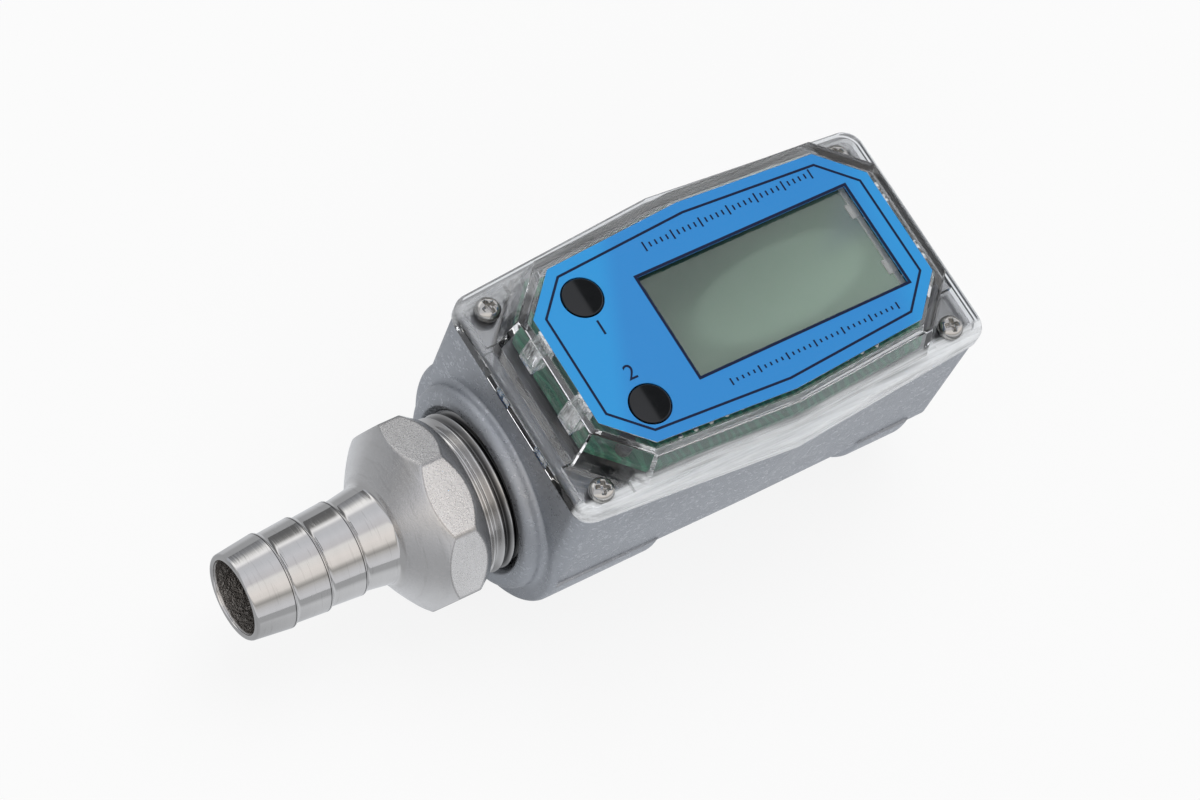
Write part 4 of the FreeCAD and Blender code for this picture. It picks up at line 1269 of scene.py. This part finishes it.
class FLOW_OT_buttons(bpy.types.Operator):
    """Finishes the push buttons and their switches"""
    bl_idname = "flow.buttons"
    bl_label = "Buttons"

    def execute(self, context):
        s = context.scene.flow_buttons
        black = gloss_black(s)
        for side in ("calibrate", "display"):
            self.cap(s, side, black)
        stem = moulded("switch_plastic", (0.05, 0.05, 0.05), 0.5)
        for node in ("calibrate_plunger", "display_plunger", "switch_housings"):
            dress(node, stem)
        return {"FINISHED"}

    @staticmethod
    def cap(s, side, material):
        """One domed cap over its skirt."""
        low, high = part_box(side + "_button")
        centre = ((low.x + high.x) / 2, (low.y + high.y) / 2)
        flat = s.cap_radius - s.edge
        rim = high.z - s.dome
        pole = 0.00001
        profile = [(max(flat * i / 12, pole), high.z - s.dome * (i / 12) ** 2) for i in range(13)]
        for i in range(1, 7):
            a = math.pi / 2 * i / 6
            profile.append((flat + s.edge * math.sin(a), rim - s.edge * (1 - math.cos(a))))
        skirt = low.z + s.skirt_height
        skirt_radius = high.x - centre[0]
        profile += [(s.cap_radius, skirt), (skirt_radius, skirt), (skirt_radius, low.z), (pole, low.z)]
        cap = turned_piece(side + "_cap", profile, centre, 96, material, side + "_key")
        shade_rounds(cap.data)
        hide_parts(side + "_button")


class FLOW_OT_screws(bpy.types.Operator):
    """Makes the cover screws with crowned heads and cross recesses"""
    bl_idname = "flow.screws"
    bl_label = "Cover screws"

    def execute(self, context):
        s = context.scene.flow_screws
        metal = nickel(s)
        low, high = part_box("cover_screws")
        seat = high[2] - s.head_height
        screw = self.one_screw(s, seat - low[2], metal)
        x = (low[0] + high[0]) / 2
        places = [(x + i * s.spacing_x / 2, j * s.spacing_y / 2, seat) for i in (-1, 1) for j in (-1, 1)]
        graph, given, result = new_tree("screw_places", [
            ("Screw", "NodeSocketObject"), ("Seed", "NodeSocketInt"),
            ("Material", "NodeSocketMaterial")])
        model = graph.node("GeometryNodeObjectInfo", inputs={"Object": given.outputs["Screw"]})
        spin = graph.node("FunctionNodeRandomValue", {"data_type": "FLOAT"}, {
            "Min": 0.0, "Max": math.pi / 2, "Seed": given.outputs["Seed"]})
        turn = graph.node("ShaderNodeCombineXYZ", inputs={2: spin.outputs[1]})
        placed = graph.node("GeometryNodeInstanceOnPoints", inputs={
            "Points": given.outputs["Geometry"], "Instance": model.outputs["Geometry"],
            "Rotation": turn.outputs[0]})
        finish_tree(graph, given, result, placed.outputs[0])
        values = {"Screw": screw, "Seed": s.seed, "Material": metal}
        piece = run_tree("crosshead_screws", graph, values, metal, points_mesh("screw_seats", places))
        bpy.data.objects.remove(screw)
        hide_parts("cover_screws")
        dress("board_screws", metal)
        return {"FINISHED"}

    def one_screw(self, s, shank_length, metal):
        """One screw with its seat at the origin."""
        r = s.head_radius
        pole = 0.00002
        steps = 26
        crown = [(r * math.sin(i / steps * math.pi / 2) ** 0.9, None) for i in range(1, steps + 1)]
        shank = [(r, 0.00035), (r * 0.97, 0.0), (s.shank_radius, 0.0),
                 (s.shank_radius, -shank_length), (pole, -shank_length)]
        return turned_piece(
            "screw_model", [(pole, None)] + crown + shank, (0, 0), 96, metal, None,
            height_at=lambda x, y: self.crown(s, math.hypot(x, y)) - self.recess(s, x, y))

    @staticmethod
    def crown(s, radius):
        """Height of the head over its seat."""
        share = min(1.0, radius / s.head_radius)
        return s.head_height * (0.30 + 0.70 * math.sqrt(max(0.0, 1 - share ** 3.2)))

    @staticmethod
    def recess(s, x, y):
        """Depth of the cross recess below the crown."""
        across, reach = sorted((abs(x), abs(y)))
        arm_half_width, arm_length, well_radius = 0.00042, 0.0016, 0.00075
        arm = clamped((arm_half_width - across) / 0.00012 + 0.5)
        end = clamped((arm_length - reach) / 0.0007)
        well = clamped((well_radius - math.hypot(x, y)) / 0.0003)
        return s.recess * max(arm * end, well * 0.9)


class FLOW_OT_board(bpy.types.Operator):
    """Finishes the circuit board and adds its solder joints"""
    bl_idname = "flow.board"
    bl_label = "Circuit board"

    def execute(self, context):
        s = context.scene.flow_board
        dress("circuit_board", solder_mask(s))
        dress("board_components", moulded("component_black", (0.03, 0.03, 0.03), 0.45))
        metal = solder(s)
        low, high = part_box("circuit_board")
        places = []
        count = int((high[0] - low[0] - 2 * s.bare_end) / s.joint_pitch)
        x0 = (low[0] + high[0]) / 2 - s.joint_pitch * (count - 1) / 2
        for i in range(count):
            for side in (-1, 1):
                places.append((x0 + i * s.joint_pitch, side * s.joint_row, high[2]))
        graph, given, result = new_tree("solder_joints", [
            ("Radius", "NodeSocketFloat"), ("Material", "NodeSocketMaterial")])
        ball = graph.node("GeometryNodeMeshUVSphere", inputs={
            "Segments": 12, "Rings": 7, "Radius": given.outputs["Radius"]})
        placed = graph.node("GeometryNodeInstanceOnPoints", inputs={
            "Points": given.outputs["Geometry"], "Instance": ball.outputs[0], "Scale": (1.0, 1.0, 0.7)})
        finish_tree(graph, given, result, placed.outputs[0])
        values = {"Radius": s.joint_radius, "Material": metal}
        piece = run_tree("solder_joints", graph, values, metal, points_mesh("joint_places", places))
        return {"FINISHED"}


class FLOW_OT_works(bpy.types.Operator):
    """Finishes the rotor, its supports, the pickup and the battery"""
    bl_idname = "flow.works"
    bl_label = "Inner works"

    def execute(self, context):
        finishes = {
            "inlet_straightener": moulded("vane_plastic", (0.72, 0.72, 0.68), 0.45),
            "inlet_bush": rolled("bearing_bronze", (0.42, 0.28, 0.13), 0.35),
            "inlet_retaining_ring": rolled("spring_steel", (0.30, 0.30, 0.31), 0.35),
            "turbine_rotor": moulded("rotor_plastic", (0.03, 0.03, 0.033), 0.4),
            "rotor_shaft": rolled("ground_steel", (0.68, 0.68, 0.69), 0.15, 0.0005),
            "rotor_magnets": rolled("magnet", (0.10, 0.10, 0.11), 0.35),
            "pickup_bobbin": moulded("bobbin_plastic", (0.03, 0.03, 0.03), 0.5),
            "pickup_winding": rolled("copper_wire", (0.60, 0.24, 0.08), 0.3, 0.0003),
            "pickup_core": moulded("ferrite", (0.06, 0.06, 0.06), 0.6),
            "battery_tray": moulded("tray_plastic", (0.03, 0.03, 0.032), 0.55),
            "battery_cells": moulded("cell_sleeve", (0.10, 0.12, 0.16), 0.4),
        }
        same_finish = {"outlet_straightener": "inlet_straightener", "outlet_bush": "inlet_bush",
                       "outlet_retaining_ring": "inlet_retaining_ring",
                       "battery_contacts": "inlet_retaining_ring"}
        for node, material in finishes.items():
            dress(node, material)
        for node, other in same_finish.items():
            dress(node, finishes[other])
        return {"FINISHED"}


class FLOW_PT_pieces(bpy.types.Panel):
    """Lists the pieces of the flow meter"""
    bl_idname = "FLOW_PT_pieces"
    bl_label = "Flow meter"
    bl_space_type = "VIEW_3D"
    bl_region_type = "UI"
    bl_category = "Flow meter"

    def draw(self, context):
        for operator in OPERATORS:
            self.layout.operator(operator.bl_idname)
        for name, group in SETTINGS.items():
            box = self.layout.box()
            settings = getattr(context.scene, name)
            for field in group.__annotations__:
                box.prop(settings, field)


OPERATORS = (FLOW_OT_stage, FLOW_OT_housing, FLOW_OT_fitting, FLOW_OT_port_thread, FLOW_OT_cover,
             FLOW_OT_face, FLOW_OT_display, FLOW_OT_buttons, FLOW_OT_screws, FLOW_OT_board,
             FLOW_OT_works)


def register():
    for name, group in SETTINGS.items():
        bpy.utils.register_class(group)
        setattr(bpy.types.Scene, name, bpy.props.PointerProperty(type=group))
    for item in (*OPERATORS, FLOW_PT_pieces):
        bpy.utils.register_class(item)


def unregister():
    for item in reversed((*OPERATORS, FLOW_PT_pieces)):
        bpy.utils.unregister_class(item)
    for name, group in SETTINGS.items():
        delattr(bpy.types.Scene, name)
        bpy.utils.unregister_class(group)


def main():
    register()
    bpy.ops.flow.stage()
    bpy.ops.flow.housing()
    bpy.ops.flow.fitting()
    bpy.ops.flow.port_thread()
    bpy.ops.flow.cover()
    bpy.ops.flow.face()
    bpy.ops.flow.display()
    bpy.ops.flow.buttons()
    bpy.ops.flow.screws()
    bpy.ops.flow.board()
    bpy.ops.flow.works()


if __name__ == "__main__":
    main()
